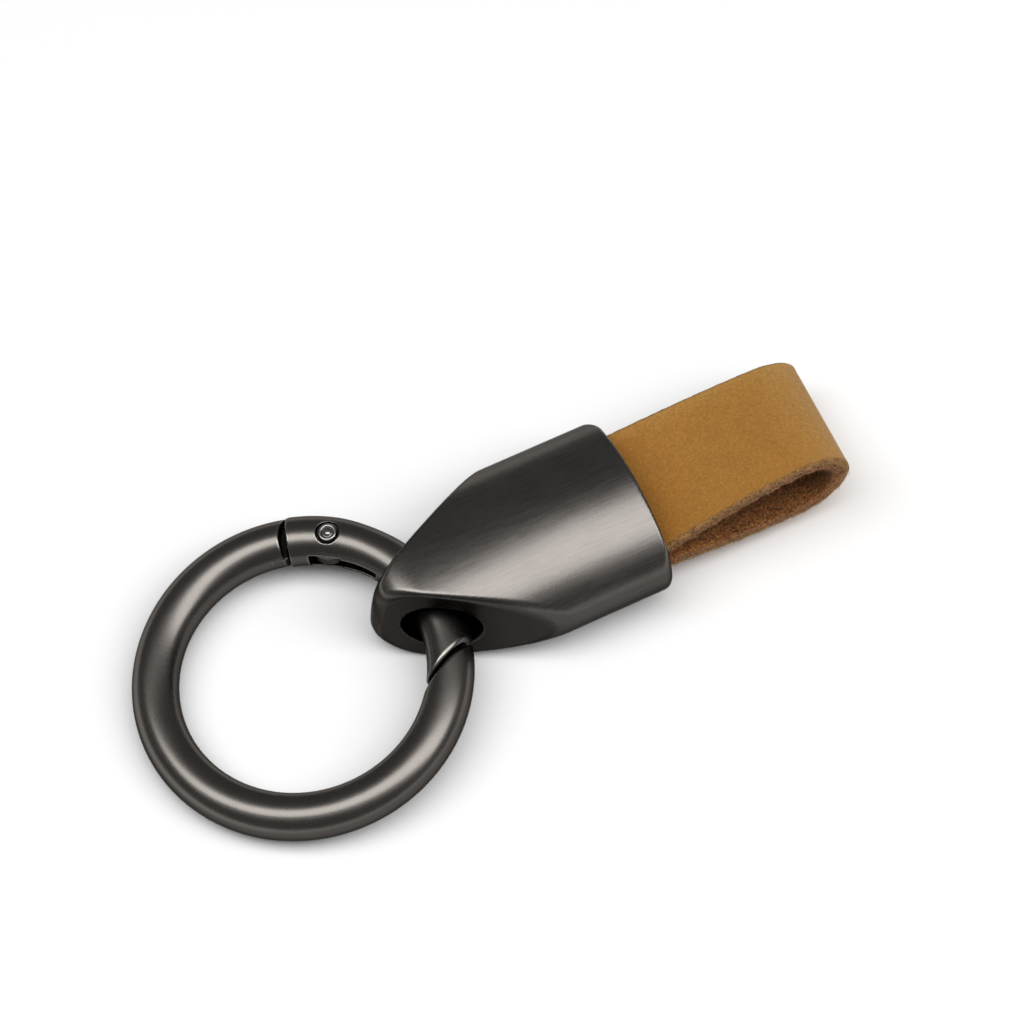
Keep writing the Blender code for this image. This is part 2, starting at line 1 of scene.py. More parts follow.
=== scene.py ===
"""Finished look of the key clip: fine meshes, materials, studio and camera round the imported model.

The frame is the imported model's: +X from the ring towards the strap, +Y away from the viewer, +Z up.
Lengths in the classes below are millimetres. They become metres where a mesh, lamp or node is made.
"""

import logging
import math
from dataclasses import dataclass, field
from enum import Enum
from typing import Any, Callable

import bpy
import numpy as np
from mathutils import Matrix, Vector

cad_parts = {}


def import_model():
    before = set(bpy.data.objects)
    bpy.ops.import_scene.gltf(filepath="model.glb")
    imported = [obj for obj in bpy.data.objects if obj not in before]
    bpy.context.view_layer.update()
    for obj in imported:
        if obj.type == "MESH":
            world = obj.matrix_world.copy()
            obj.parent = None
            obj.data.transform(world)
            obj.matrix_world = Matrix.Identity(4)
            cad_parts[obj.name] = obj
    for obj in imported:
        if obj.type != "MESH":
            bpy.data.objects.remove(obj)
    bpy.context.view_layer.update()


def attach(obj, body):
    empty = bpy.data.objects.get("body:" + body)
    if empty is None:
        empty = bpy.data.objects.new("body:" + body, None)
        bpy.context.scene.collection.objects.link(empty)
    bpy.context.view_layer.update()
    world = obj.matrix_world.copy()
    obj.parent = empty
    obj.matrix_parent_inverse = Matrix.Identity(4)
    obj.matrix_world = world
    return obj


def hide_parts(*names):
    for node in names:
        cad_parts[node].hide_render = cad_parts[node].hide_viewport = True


MM = 0.001
TINY = 1e-9

Array = np.ndarray
Field = Callable[[Array], Array]
Pair = tuple[float, float]
Triple = tuple[float, float, float]
Color = Triple
Box = tuple[Vector, Vector]
Material = bpy.types.Material
Piece = bpy.types.Object

SOCKET_OF: dict[type, str] = {
    float: "NodeSocketFloat",
    int: "NodeSocketInt",
    Vector: "NodeSocketVector",
    Material: "NodeSocketMaterial",
}

log = logging.getLogger("key_clip")


class Body(Enum):
    """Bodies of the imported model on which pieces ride."""

    HOOD = "hood_group"
    RING = "ring_group"
    GATE = "gate_group"
    PLUNGER = "plunger_group"


# Signed fields: negative inside a solid, zero on its surface, about the distance outside it


def round_max(first: Array, second: Array, radius: float | Array) -> Array:
    """Common part of two solids, with the edge between them rounded.

    Args:
        first: Field of the first solid.
        second: Field of the second solid.
        radius: Radius of the rounded edge.

    Returns:
        Field of the common part.
    """
    corner = np.hypot(np.maximum(first + radius, 0), np.maximum(second + radius, 0))
    return np.minimum(np.maximum(first, second), -radius) + corner


def round_min(first: Array, second: Array, radius: float | Array) -> Array:
    """Union of two solids, with a fillet of the given radius in the corner between them."""
    return -round_max(-first, -second, radius)


def carved(solid: Array, *cuts: tuple[Array, float | Array]) -> Array:
    """Common part of a solid and others, each given with the radius of the edge that it makes."""
    for other, radius in cuts:
        solid = round_max(solid, other, radius)
    return solid


def ease(share: Array | float) -> Array:
    """Smooth step of a share from 0 to 1."""
    share = np.clip(share, 0.0, 1.0)
    return share * share * (3 - 2 * share)


def nearness(distance: Array, onset: float) -> Array:
    """How near a point is to a solid by its distance: 1 on it or inside, 0 from the onset outwards."""
    return ease(1 - distance / onset)


def reach_of(point: Array) -> Array:
    """Distance of a point from the Z axis."""
    return np.hypot(point[..., 0], point[..., 1])


def line_distance(point: Array, angle: float) -> Array:
    """Distance of a point past the radial line at an angle, counted anticlockwise in the XY plane."""
    return math.cos(angle) * point[..., 1] - math.sin(angle) * point[..., 0]


@dataclass(frozen=True)
class FieldMesher:
    """Turns the zero surface of a field into a closed mesh of even quads.

    Attributes:
        cell: Size of the sampling cells.
        seat_rounds: Times that the vertices are moved on to the surface.
        slope_step: Half the step over which the field's slope is taken.
        bend_step: Step over which the surface's bend is taken.
        edge_bend: Least bend of a worn edge, per millimetre, and the range over which the wear sets in.
        crease_bend: The same of a crease and its dirt and painted shade.
        steep_rise: Upward part of the normal below which a surface is steep and gets painted shade, and the
            range of its onset.
    """

    cell: float
    seat_rounds: int = 4
    slope_step: float = 0.01
    bend_step: float = 0.12
    edge_bend: Pair = (0.9, 2.2)
    crease_bend: Pair = (0.8, 2.5)
    steep_rise: Pair = (0.64, 0.27)

    def crossings(self, values: Array, axis: int, strides: Array) -> tuple[Array, Array, Array]:
        """Find where the surface crosses the grid's edges along one axis.

        Args:
            values: The field on the grid.
            axis: Index of the axis.
            strides: Steps of the grid's flat index along each axis.

        Returns:
            Crossing points in cells, and the four cells round each of them, wound outwards.
        """
        low = np.take(values, range(values.shape[axis] - 1), axis)
        high = np.take(values, range(1, values.shape[axis]), axis)
        crossed = (low < 0) != (high < 0)
        corner = np.argwhere(crossed)
        low, high = low[crossed], high[crossed]
        spots = corner.astype(float)
        spots[:, axis] += low / (low - high)
        flat = corner @ strides
        right, up = strides[(axis + 1) % 3], strides[(axis + 2) % 3]
        around = np.stack([flat - right - up, flat - up, flat, flat - right], axis=1)
        around[low > 0] = around[low > 0][:, ::-1]
        return spots, around

    def slope(self, solid: Field, points: Array) -> Array:
        """Slope of the field at points, by central differences."""
        steps = self.slope_step * np.eye(3)
        rises = [solid(points + step) - solid(points - step) for step in steps]
        return np.stack(rises, axis=-1) / (2 * self.slope_step)

    def bend(self, solid: Field, points: Array) -> Array:
        """Bend of the surface at points, per millimetre: above zero on edges, below it in creases."""
        steps = self.bend_step * np.eye(3)
        around = (solid(points + step) + solid(points - step) for step in steps)
        return sum(around, -6 * solid(points)) / self.bend_step**2

    def marks(self, solid: Field, points: Array, recess: Field, flank_shade: float) -> dict[str, Array]:
        """Mark a surface for the materials.

        Args:
            solid: Field of the solid.
            points: Points of its surface.
            recess: How much painted shade a point gets, from 0 to 1, apart from that of steep flanks.
            flank_shade: How much painted shade darkens steep flanks and the underside.

        Returns:
            How far each point is on an edge and in a crease, and how much painted shade it gets.
        """
        bend, slope = self.bend(solid, points), self.slope(solid, points)
        rise = slope[:, 2] / np.maximum(np.linalg.norm(slope, axis=-1), TINY)
        steep = ease((self.steep_rise[0] - rise) / self.steep_rise[1])
        return {
            "edge": ease((bend - self.edge_bend[0]) / self.edge_bend[1]),
            "crease": ease((-bend - self.crease_bend[0]) / self.crease_bend[1]),
            # Painted shade: the given part, and steep flanks and the underside.
            "recess": np.maximum(recess(points), flank_shade * steep),
        }

    def mesh(self, solid: Field, low: Vector, high: Vector) -> tuple[Array, Array]:
        """Mesh a solid inside a box.

        Args:
            solid: Field of the solid.
            low: Lowest corner of a box that holds the solid.
            high: Highest corner of that box.

        Returns:
            Vertices, and quads that face outwards.
        """
        start = np.array(low) - 2 * self.cell
        counts = np.ceil((np.array(high) - start) / self.cell).astype(int) + 3
        axes = [start[i] + self.cell * np.arange(counts[i]) for i in range(3)]
        values = solid(np.stack(np.meshgrid(*axes, indexing="ij"), axis=-1))
        strides = np.array([counts[1] * counts[2], counts[2], 1])
        found = [self.crossings(values, axis, strides) for axis in range(3)]
        spots = np.concatenate([np.repeat(spot, 4, axis=0) for spot, _ in found])
        around = np.concatenate([ring for _, ring in found])
        _, owner = np.unique(around, return_inverse=True)
        owner = owner.reshape(-1)
        shares = np.bincount(owner)
        points = np.stack([np.bincount(owner, spots[:, i]) / shares for i in range(3)], axis=-1)
        points = start + self.cell * points
        for _ in range(self.seat_rounds):
            slope = self.slope(solid, points)
            move = slope * (solid(points) / np.maximum((slope**2).sum(-1), TINY))[:, None]
            reach = np.linalg.norm(move, axis=-1, keepdims=True)
            points = points - move * np.minimum(1, self.cell / 2 / np.maximum(reach, TINY))
        return points, owner.reshape(-1, 4)


def add_object(name: str, data: bpy.types.ID) -> Piece:
    """Add an object with its data to the scene, at the origin."""
    obj = bpy.data.objects.new(name, data)
    bpy.context.scene.collection.objects.link(obj)
    return obj


def mesh_piece(
    name: str, points: Array, faces: list, marks: dict[str, Array] | None = None, place: Matrix | None = None
) -> Piece:
    """Make a smooth-shaded object at the origin from points in millimetres.

    Args:
        name: Name of the piece.
        points: Its vertices.
        faces: Vertex indices of each face, wound outwards.
        marks: Numbers kept on the vertices for the materials, by name.
        place: Frame in which the points are given, if it is not the model's.

    Returns:
        The object.
    """
    if place is not None:
        matrix = np.array(place)
        points = points @ matrix[:3, :3].T + matrix[:3, 3]
    mesh = bpy.data.meshes.new(name)
    mesh.from_pydata((points * MM).tolist(), [], faces)
    for mark, numbers in (marks or {}).items():
        mesh.attributes.new(mark, "FLOAT", "POINT").data.foreach_set("value", numbers.astype(np.float32))
    mesh.shade_smooth()
    return add_object(name, mesh)


def band_faces(rows: int, columns: int) -> Array:
    """Quads of a tube drawn as rows of points, by the row and the column at which each starts."""
    index = np.arange(rows * columns).reshape(rows, columns)
    after = np.roll(index, -1, axis=1)
    return np.stack([index[:-1], index[1:], after[1:], after[:-1]], axis=-1)


def turned_mesh(profile: list[Pair], count: int) -> tuple[Array, list]:
    """Turn a profile about Z, from its lower pole to its upper one.

    Args:
        profile: Pairs of radius and height, without the two poles.
        count: Number of points round the axis.

    Returns:
        Vertices and faces of the closed shape.
    """
    turns = np.arange(count) * 2 * math.pi / count
    rings = [np.stack([r * np.cos(turns), r * np.sin(turns), np.full(count, h)], axis=-1) for r, h in profile]
    points = np.concatenate([*rings, [[0, 0, profile[0][1]]], [[0, 0, profile[-1][1]]]])
    faces = np.roll(band_faces(len(profile), count)[..., ::-1], 1, axis=-1).reshape(-1, 4).tolist()
    top, bottom = (len(profile) - 1) * count, len(points) - 2
    for i in range(count):
        j = (i + 1) % count
        faces += [(j, i, bottom), (top + i, top + j, bottom + 1)]
    return points, faces


def soft_profile(corners: list[Triple], steps: int = 4) -> list[Pair]:
    """Round the corners of a profile.

    Args:
        corners: Radius, height and size of the rounding of each corner.
        steps: Points on each rounding, less one.

    Returns:
        Pairs of radius and height.
    """
    profile = []
    for i, (radius, height, size) in enumerate(corners):
        here = np.array([radius, height])
        if size == 0 or i in (0, len(corners) - 1):
            profile.append((radius, height))
            continue
        before = np.array(corners[i - 1][:2]) - here
        after = np.array(corners[i + 1][:2]) - here
        start = here + before / np.linalg.norm(before) * size
        end = here + after / np.linalg.norm(after) * size
        for share in np.linspace(0, 1, steps + 1):
            spot = (1 - share) ** 2 * start + 2 * share * (1 - share) * here + share**2 * end
            profile.append((float(spot[0]), float(spot[1])))
    return profile


# Node trees


class Grain(Enum):
    """Noises of the materials: size of their grains in millimetres, detail and roughness."""

    PLATE_CLOUDS = (4.0, 3.0, 0.5)
    PLATE_FLECKS = (0.35, 2.0, 0.6)
    PLATE_BRUSHED = (0.15, 2.0, 0.6)
    PLATE_SCUFFS = (0.12, 1.0, 0.5)
    PLATE_WEAR = (0.8, 3.0, 0.5)
    PLATE_SKIN = (2.6, 2.0, 0.5)
    HIDE_CLOUDS = (3.2, 4.0, 0.6)
    HIDE_NAP = (0.22, 3.0, 0.7)
    HIDE_PORES = (0.11, 2.0, 0.6)
    HIDE_CLUMPS = (0.4, 3.0, 0.7)
    HIDE_TUFTS = (0.26, 2.0, 0.65)
    HIDE_GRIT = (0.3, 3.0, 0.75)
    FIBRE_SHADE = (0.5, 1.0, 0.5)


@dataclass(frozen=True)
class Wire:
    """Output of a node, which can be used in sums."""

    maker: "TreeMaker"
    socket: bpy.types.NodeSocket | None

    def out(self, name: str | int) -> "Wire":
        """Another output of the same node."""
        return Wire(self.maker, self.socket.node.outputs[name])

    def math(self, operation: str, first: "Wire | float", second: "Wire | float") -> "Wire":
        """Result of a Math node on two values."""
        return self.maker.node("ShaderNodeMath", {0: first, 1: second}, operation=operation)

    def __add__(self, other: "Wire | float") -> "Wire":
        """Sum of two values."""
        return self.math("ADD", self, other)

    __radd__ = __add__

    def __sub__(self, other: "Wire | float") -> "Wire":
        """This value less another."""
        return self.math("SUBTRACT", self, other)

    def __rsub__(self, other: "Wire | float") -> "Wire":
        """Another value less this one."""
        return self.math("SUBTRACT", other, self)

    def __mul__(self, other: "Wire | float") -> "Wire":
        """Product of two values."""
        return self.math("MULTIPLY", self, other)

    def span(self, low: float, high: float, start: float = 0.0, end: float = 1.0) -> "Wire":
        """Map a range of this value smoothly to another range, and hold it there.

        Args:
            low: Value that gives start.
            high: Value that gives end.
            start: Result at low.
            end: Result at high.

        Returns:
            The mapped value.
        """
        inputs = {"Value": self, "From Min": low, "From Max": high, "To Min": start, "To Max": end}
        return self.maker.node("ShaderNodeMapRange", inputs, interpolation_type="SMOOTHSTEP")


@dataclass(frozen=True)
class TreeMaker:
    """Adds nodes to a shader or geometry tree."""

    tree: bpy.types.NodeTree

    def node(self, kind: str, inputs: dict[str | int, Any] | None = None, **settings: Any) -> Wire:
        """Add a node.

        Args:
            kind: The node's type.
            inputs: Values or links of its sockets, by name or index.
            settings: Its own settings, which are set first.

        Returns:
            The node's first output, if it has one.
        """
        made = self.tree.nodes.new(kind)
        for name, value in settings.items():
            setattr(made, name, value)
        for key, value in (inputs or {}).items():
            if isinstance(value, Wire):
                self.tree.links.new(value.socket, made.inputs[key])
            else:
                made.inputs[key].default_value = value
        return Wire(self, made.outputs[0] if len(made.outputs) else None)

    def noise(self, place: Wire, grain: Grain | Triple) -> Wire:
        """Noise between 0 and 1.

        Args:
            place: Coordinates in metres.
            grain: Size of its grains, its number of finer layers and their strength.

        Returns:
            The noise value.
        """
        size, detail, roughness = grain.value if isinstance(grain, Grain) else grain
        inputs = {"Vector": place, "Scale": 1 / (size * MM), "Detail": detail, "Roughness": roughness}
        return self.node("ShaderNodeTexNoise", inputs).out("Fac")

    def drawn_out(self, place: Wire, share: float) -> Wire:
        """Place whose X counts by a share only, which draws a noise out along X."""
        return self.node("ShaderNodeMapping", {"Vector": place, "Scale": (share, 1.0, 1.0)})

    def layers(self, base: Color | Wire, *coats: tuple[Wire, Color | Wire]) -> Wire:
        """Lay colours over a base in turn, each by its own share."""
        for share, coat in coats:
            low, high = (c if isinstance(c, Wire) else (*c, 1.0) for c in (base, coat))
            base = self.node("ShaderNodeMix", {0: share, 6: low, 7: high}, data_type="RGBA").out(2)
        return base

    def mark(self, name: str) -> Wire:
        """A number kept on the piece's vertices."""
        return self.node("ShaderNodeAttribute", attribute_name=name).out("Fac")

    def object_place(self) -> Wire:
        """Object coordinates, which are the frame's own because every piece stands at the origin."""
        return self.node("ShaderNodeTexCoord").out("Object")

    def axis(self, place: Wire, name: str) -> Wire:
        """One coordinate of a place, X, Y or Z, in millimetres."""
        metres = self.node("ShaderNodeSeparateXYZ", {0: place}).out(name)
        return metres.math("DIVIDE", metres, MM)

    def bump(self, height: Wire) -> Wire:
        """Normal of a bumpy surface, by its height in millimetres."""
        return self.node("ShaderNodeBump", {"Height": height, "Distance": MM, "Strength": 1.0})

    def sweep(self, curve: Wire, radius: Wire, sides: int) -> Wire:
        """Round wire along a curve."""
        profile = self.node("GeometryNodeCurvePrimitiveCircle", {"Resolution": sides, "Radius": radius})
        inputs = {"Curve": curve, "Profile Curve": profile, "Fill Caps": True}
        return self.node("GeometryNodeCurveToMesh", inputs)


def toned(color: Color, share: float) -> Color:
    """A colour darkened to a share of itself."""
    return tuple(share * c for c in color)


@dataclass(frozen=True)
class Finish:
    """Look of a material, whose nodes each kind draws in its own way.

    A layer's span takes the part of its noise between two values and turns it into the layer's strength,
    from none to full or between the two strengths that follow.

    Attributes:
        name: Name of the material.
    """

    name: str

    def make(self) -> Material:
        """Build the material."""
        material = bpy.data.materials.new(self.name)
        material.use_nodes = True
        material.node_tree.nodes.clear()
        maker = TreeMaker(material.node_tree)
        shader = maker.node("ShaderNodeBsdfPrincipled", self.shading(maker))
        maker.node("ShaderNodeOutputMaterial", {"Surface": shader})
        return material

    def shading(self, maker: TreeMaker) -> dict[str, Any]:
        """Inputs of the material's shader."""
        raise NotImplementedError


@dataclass(frozen=True)
class SatinPlate(Finish):
    """Satin plating on cast or turned metal, brighter where handling has worn its edges, darker with painted
    shade where the piece marks it and with dirt and painted shade in creases.

    Attributes:
        color: Colour of the plating.
        worn: Colour of its worn edges.
        roughness: Mean roughness.
        skin: Depth of the casting's faint unevenness.
        grain: Size of the satin grain.
        grain_depth: Depth of the satin grain.
        cloud_tone: Tone of the plating between its lighter clouds.
        edges: Strength of the edge wear.
        shelter: Share of that wear which the painted shade takes away.
        crease_grime_and_shade: Strength of the dirt and painted shade in creases.
        crease_grime_and_shade_tone: Tone of the plating under that dirt and painted shade.
        painted_shade_tone: Tone to which the painted shade darkens the plating.
        streaks: Strength of the fine brushing along X.
        brushing: Share by which X counts in the brushing's noise.
        scuffing: The same in the scuffs' noise.
        grazing: Tint of what it reflects at grazing angles, where dark plating is duller than bare metal.
    """

    color: Color
    worn: Color
    roughness: float
    skin: float = 0.005
    grain: float = 0.07
    grain_depth: float = 0.0012
    cloud_tone: float = 0.93
    edges: float = 0.7
    shelter: float = 0.8
    crease_grime_and_shade: float = 0.55
    crease_grime_and_shade_tone: float = 0.3
    painted_shade_tone: float = 0.1
    streaks: float = 0.0
    brushing: float = 0.05
    scuffing: float = 0.12
    grazing: Color = (0.35, 0.35, 0.35)

    def shading(self, maker: TreeMaker) -> dict[str, Any]:
        """Inputs of the material's shader."""
        place = maker.object_place()
        clouds = maker.noise(place, Grain.PLATE_CLOUDS)
        flecks = maker.noise(place, Grain.PLATE_FLECKS)
        brushed = maker.noise(maker.drawn_out(place, self.brushing), Grain.PLATE_BRUSHED)
        scuffs = maker.noise(maker.drawn_out(place, self.scuffing), Grain.PLATE_SCUFFS)
        recess = maker.mark("recess")
        patches = maker.noise(place, Grain.PLATE_WEAR).span(0.3, 0.7, 0.45, 1.0)
        wear = maker.mark("edge") * self.edges * patches * (1 - recess * self.shelter)
        crease_grime_and_shade = maker.mark("crease") * self.crease_grime_and_shade
        color = maker.layers(
            toned(self.color, self.cloud_tone),
            (clouds.span(0.3, 0.7), self.color),
            (flecks.span(0.66, 0.8, 0.0, 0.12), self.worn),
            (brushed.span(0.35, 0.65, 0.0, 0.14 * self.streaks), self.worn),
            # Painted shade: the marked recesses, cheeks and steep flanks darkened towards a tone of the
            # plating.
            (recess, toned(self.color, self.painted_shade_tone)),
            (wear, self.worn),
            # Dirt and painted shade in creases.
            (crease_grime_and_shade, toned(self.color, self.crease_grime_and_shade_tone)),
        )
        rough = self.roughness + (clouds - 0.5) * 0.04 + (flecks - 0.5) * 0.06 + crease_grime_and_shade * 0.2 - wear * 0.07
        rough = rough + (brushed - 0.5) * (0.12 * self.streaks)
        height = maker.noise(place, Grain.PLATE_SKIN) * self.skin
        height = height + maker.noise(place, (self.grain, 1.0, 0.5)) * self.grain_depth
        height = height + scuffs.span(0.7, 0.8) * (-0.5 * self.grain_depth)
        inputs = {"Base Color": color, "Roughness": rough, "Metallic": 1.0, "Normal": maker.bump(height)}
        return inputs | {"Specular Tint": (*self.grazing, 1.0)}


@dataclass(frozen=True)
class Nubuck(Finish):
    """Brushed vegetable-tanned leather: buffed outside, suede flesh side and raw cut edges.

    Attributes:
        face: Colour of the buffed outer face.
        dark: Colour of its pores.
        rim_tone: Its colour where the hood's rim has rubbed it.
        worn: Its colour at the fold and along the upper edge.
        flesh: Colour of the suede side.
        cut: Colour of the cut edges.
        rim_x: Place of the hood's rim.
        rim_reach: Start and end of the rubbed part, behind the rim.
        fold_x: Place of the fold.
        fold_reach: Length of the worn part before the fold.
        upper_edge: Start and end of the worn part along the far edge, across the band.
        painted_loop_shadow: Start and end, across the band, of the part inside the loop that lies in shadow.
        cloud_tone: Tone of the darker clouds on the outer face.
        hollow_tone: Tone of the suede between its tufts.
        edge_tone: Tone of a cut edge between its tufts.
    """

    face: Color
    dark: Color
    rim_tone: Color
    worn: Color
    flesh: Color
    cut: Color
    rim_x: float
    fold_x: float
    rim_reach: Pair = (7.0, -1.0)
    fold_reach: float = 7.0
    upper_edge: Pair = (4.0, 8.5)
    painted_loop_shadow: Pair = (-6.6, -1.0)
    cloud_tone: float = 0.8
    hollow_tone: float = 0.2
    edge_tone: float = 0.25

    def shading(self, maker: TreeMaker) -> dict[str, Any]:
        """Inputs of the material's shader."""
        place = maker.object_place()
        along, across = maker.axis(place, "X"), maker.axis(place, "Y")
        clouds = maker.noise(place, Grain.HIDE_CLOUDS)
        nap = maker.noise(place, Grain.HIDE_NAP)
        pores = maker.noise(place, Grain.HIDE_PORES)
        clumps = maker.noise(place, Grain.HIDE_CLUMPS)
        tufts = maker.noise(place, Grain.HIDE_TUFTS)
        grit = maker.noise(place, Grain.HIDE_GRIT)
        painted_loop_shadow = (across + (clumps - 0.5) * 3.0).span(*self.painted_loop_shadow)
        flesh = (maker.mark("flesh") + (nap - 0.5) * 0.3).span(0.4, 0.6)
        cut = (maker.mark("cut") + (clumps - 0.5) * 1.3 + (nap - 0.5) * 0.4).span(0.55, 0.75)
        near_rim = (along + (clouds - 0.5) * 6.0).span(*(self.rim_x + reach for reach in self.rim_reach))
        near_fold = (along + (clouds - 0.5) * 5.0).span(self.fold_x - self.fold_reach, self.fold_x)
        far_edge = (across + (clouds - 0.5) * 3.0).span(*self.upper_edge)
        outer = maker.layers(
            self.face,
            (clouds.span(0.3, 0.7, 0.0, 0.55), toned(self.face, self.cloud_tone)),
            (near_rim * 0.75, self.rim_tone),
            (near_fold * 0.5, self.worn),
            (far_edge * 0.6, self.worn),
            (nap.span(0.3, 0.7, 0.36, 0.0), self.dark),
            (clumps.span(0.35, 0.65, 0.34, 0.0), self.dark),
            (tufts.span(0.5, 0.72, 0.0, 0.22), self.worn),
        )
        hollow = toned(self.flesh, self.hollow_tone)
        suede = maker.layers(
            hollow,
            (grit.span(0.36, 0.6), self.flesh),
            (tufts.span(0.47, 0.66, 0.0, 0.85), self.cut),
            # Painted shadow on the suede deep inside the loop.
            (painted_loop_shadow * 0.7, hollow),
        )
        edge = maker.layers(
            toned(self.cut, self.edge_tone),
            (clumps.span(0.3, 0.62), self.cut),
            (tufts.span(0.52, 0.72, 0.0, 0.4), self.worn),
        )
        height = nap * (flesh * 0.08 + cut * 0.1 + 0.04) + pores * 0.014
        height = height + clumps * (flesh * 0.2 + cut * 0.26 + 0.025)
        return {
            "Base Color": maker.layers(outer, (flesh, suede), (cut, edge)),
            "Roughness": 0.86 + (nap - 0.5) * 0.16,
            "Normal": maker.bump(height),
            "Specular IOR Level": 0.18,
            "Sheen Weight": 0.14,
            "Sheen Roughness": 0.55,
            "Sheen Tint": (1.0, 0.86, 0.66, 1.0),
        }


@dataclass(frozen=True)
class Fibre(Finish):
    """Loose leather fibres of the cut edges."""

    light: Color
    dark: Color

    def shading(self, maker: TreeMaker) -> dict[str, Any]:
        """Inputs of the material's shader."""
        shade = maker.noise(maker.object_place(), Grain.FIBRE_SHADE).span(0.35, 0.65)
        color = maker.layers(self.dark, (shade, self.light))
        return {"Base Color": color, "Roughness": shade * 0.1 + 0.8, "Specular IOR Level": 0.2}


@dataclass(frozen=True)
class Paper(Finish):
    """Matt paper of the floor."""

    color: Color

    def shading(self, maker: TreeMaker) -> dict[str, Any]:
        """Inputs of the material's shader."""
        return {"Base Color": (*self.color, 1.0), "Roughness": 0.9, "Specular IOR Level": 0.0}


GUNMETAL_CAST = SatinPlate("gunmetal_cast", (0.149, 0.137, 0.127), (0.29, 0.275, 0.256), 0.29, streaks=1.0)
GUNMETAL_WIRE = SatinPlate("gunmetal_wire", (0.154, 0.142, 0.131), (0.31, 0.29, 0.27), 0.28, skin=0.003)
TURNED_STEEL = SatinPlate("turned_steel", (0.3, 0.29, 0.28), (0.5, 0.49, 0.47), 0.27, skin=0.0, grain=0.04)
DARK_STEEL = SatinPlate("dark_steel", (0.1, 0.1, 0.1), (0.2, 0.2, 0.2), 0.36, skin=0.0)
NUBUCK = Nubuck(
    name="mustard_nubuck",
    face=(0.41, 0.19, 0.034),
    dark=(0.2, 0.085, 0.013),
    rim_tone=(0.29, 0.11, 0.012),
    worn=(0.52, 0.3, 0.09),
    flesh=(0.245, 0.08, 0.018),
    cut=(0.36, 0.175, 0.055),
    rim_x=11.36,
    fold_x=32.6,
)
EDGE_FIBRE = Fibre("leather_fibre", (0.4, 0.22, 0.08), (0.12, 0.05, 0.015))
FLOOR_PAPER = Paper("floor_paper", (0.94, 0.94, 0.94))


def finish_piece(piece: Piece, material: Material, body: Body, slot: str, *nodes: str) -> None:
    """Give a piece its material and body, and let it stand for its solids.

    Args:
        piece: The piece.
        material: Its material.
        body: Body on which it rides.
        slot: Material slot of the record; not used.
        nodes: Solids that it replaces.
    """
    piece.data.materials.clear()
    piece.data.materials.append(material)
    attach(piece, body.value)
    if nodes:
        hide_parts(*nodes)
    log.info("%s: %d vertices on %s", piece.name, len(piece.data.vertices), body.value)


def field_piece(
    name: str, solid: Field, recess: Field, cell: float, box: Box, place: Matrix, flank_shade: float
) -> Piece:
    """Mesh a field and mark its edges, creases and painted shade for the materials.

    Args:
        name: Name of the piece.
        solid: Field of the solid, in the piece's own frame.
        recess: How much painted shade a point of its surface gets, from 0 to 1, apart from that of steep
            flanks.
        cell: Size of the mesh's cells.
        box: Corners of a box that holds the solid, in the same frame.
        place: The piece's frame.
        flank_shade: How much painted shade darkens its steep flanks and underside, from 0 to 1.

    Returns:
        The object.
    """
    mesher = FieldMesher(cell)
    points, faces = mesher.mesh(solid, *box)
    return mesh_piece(name, points, faces.tolist(), mesher.marks(solid, points, recess, flank_shade), place)


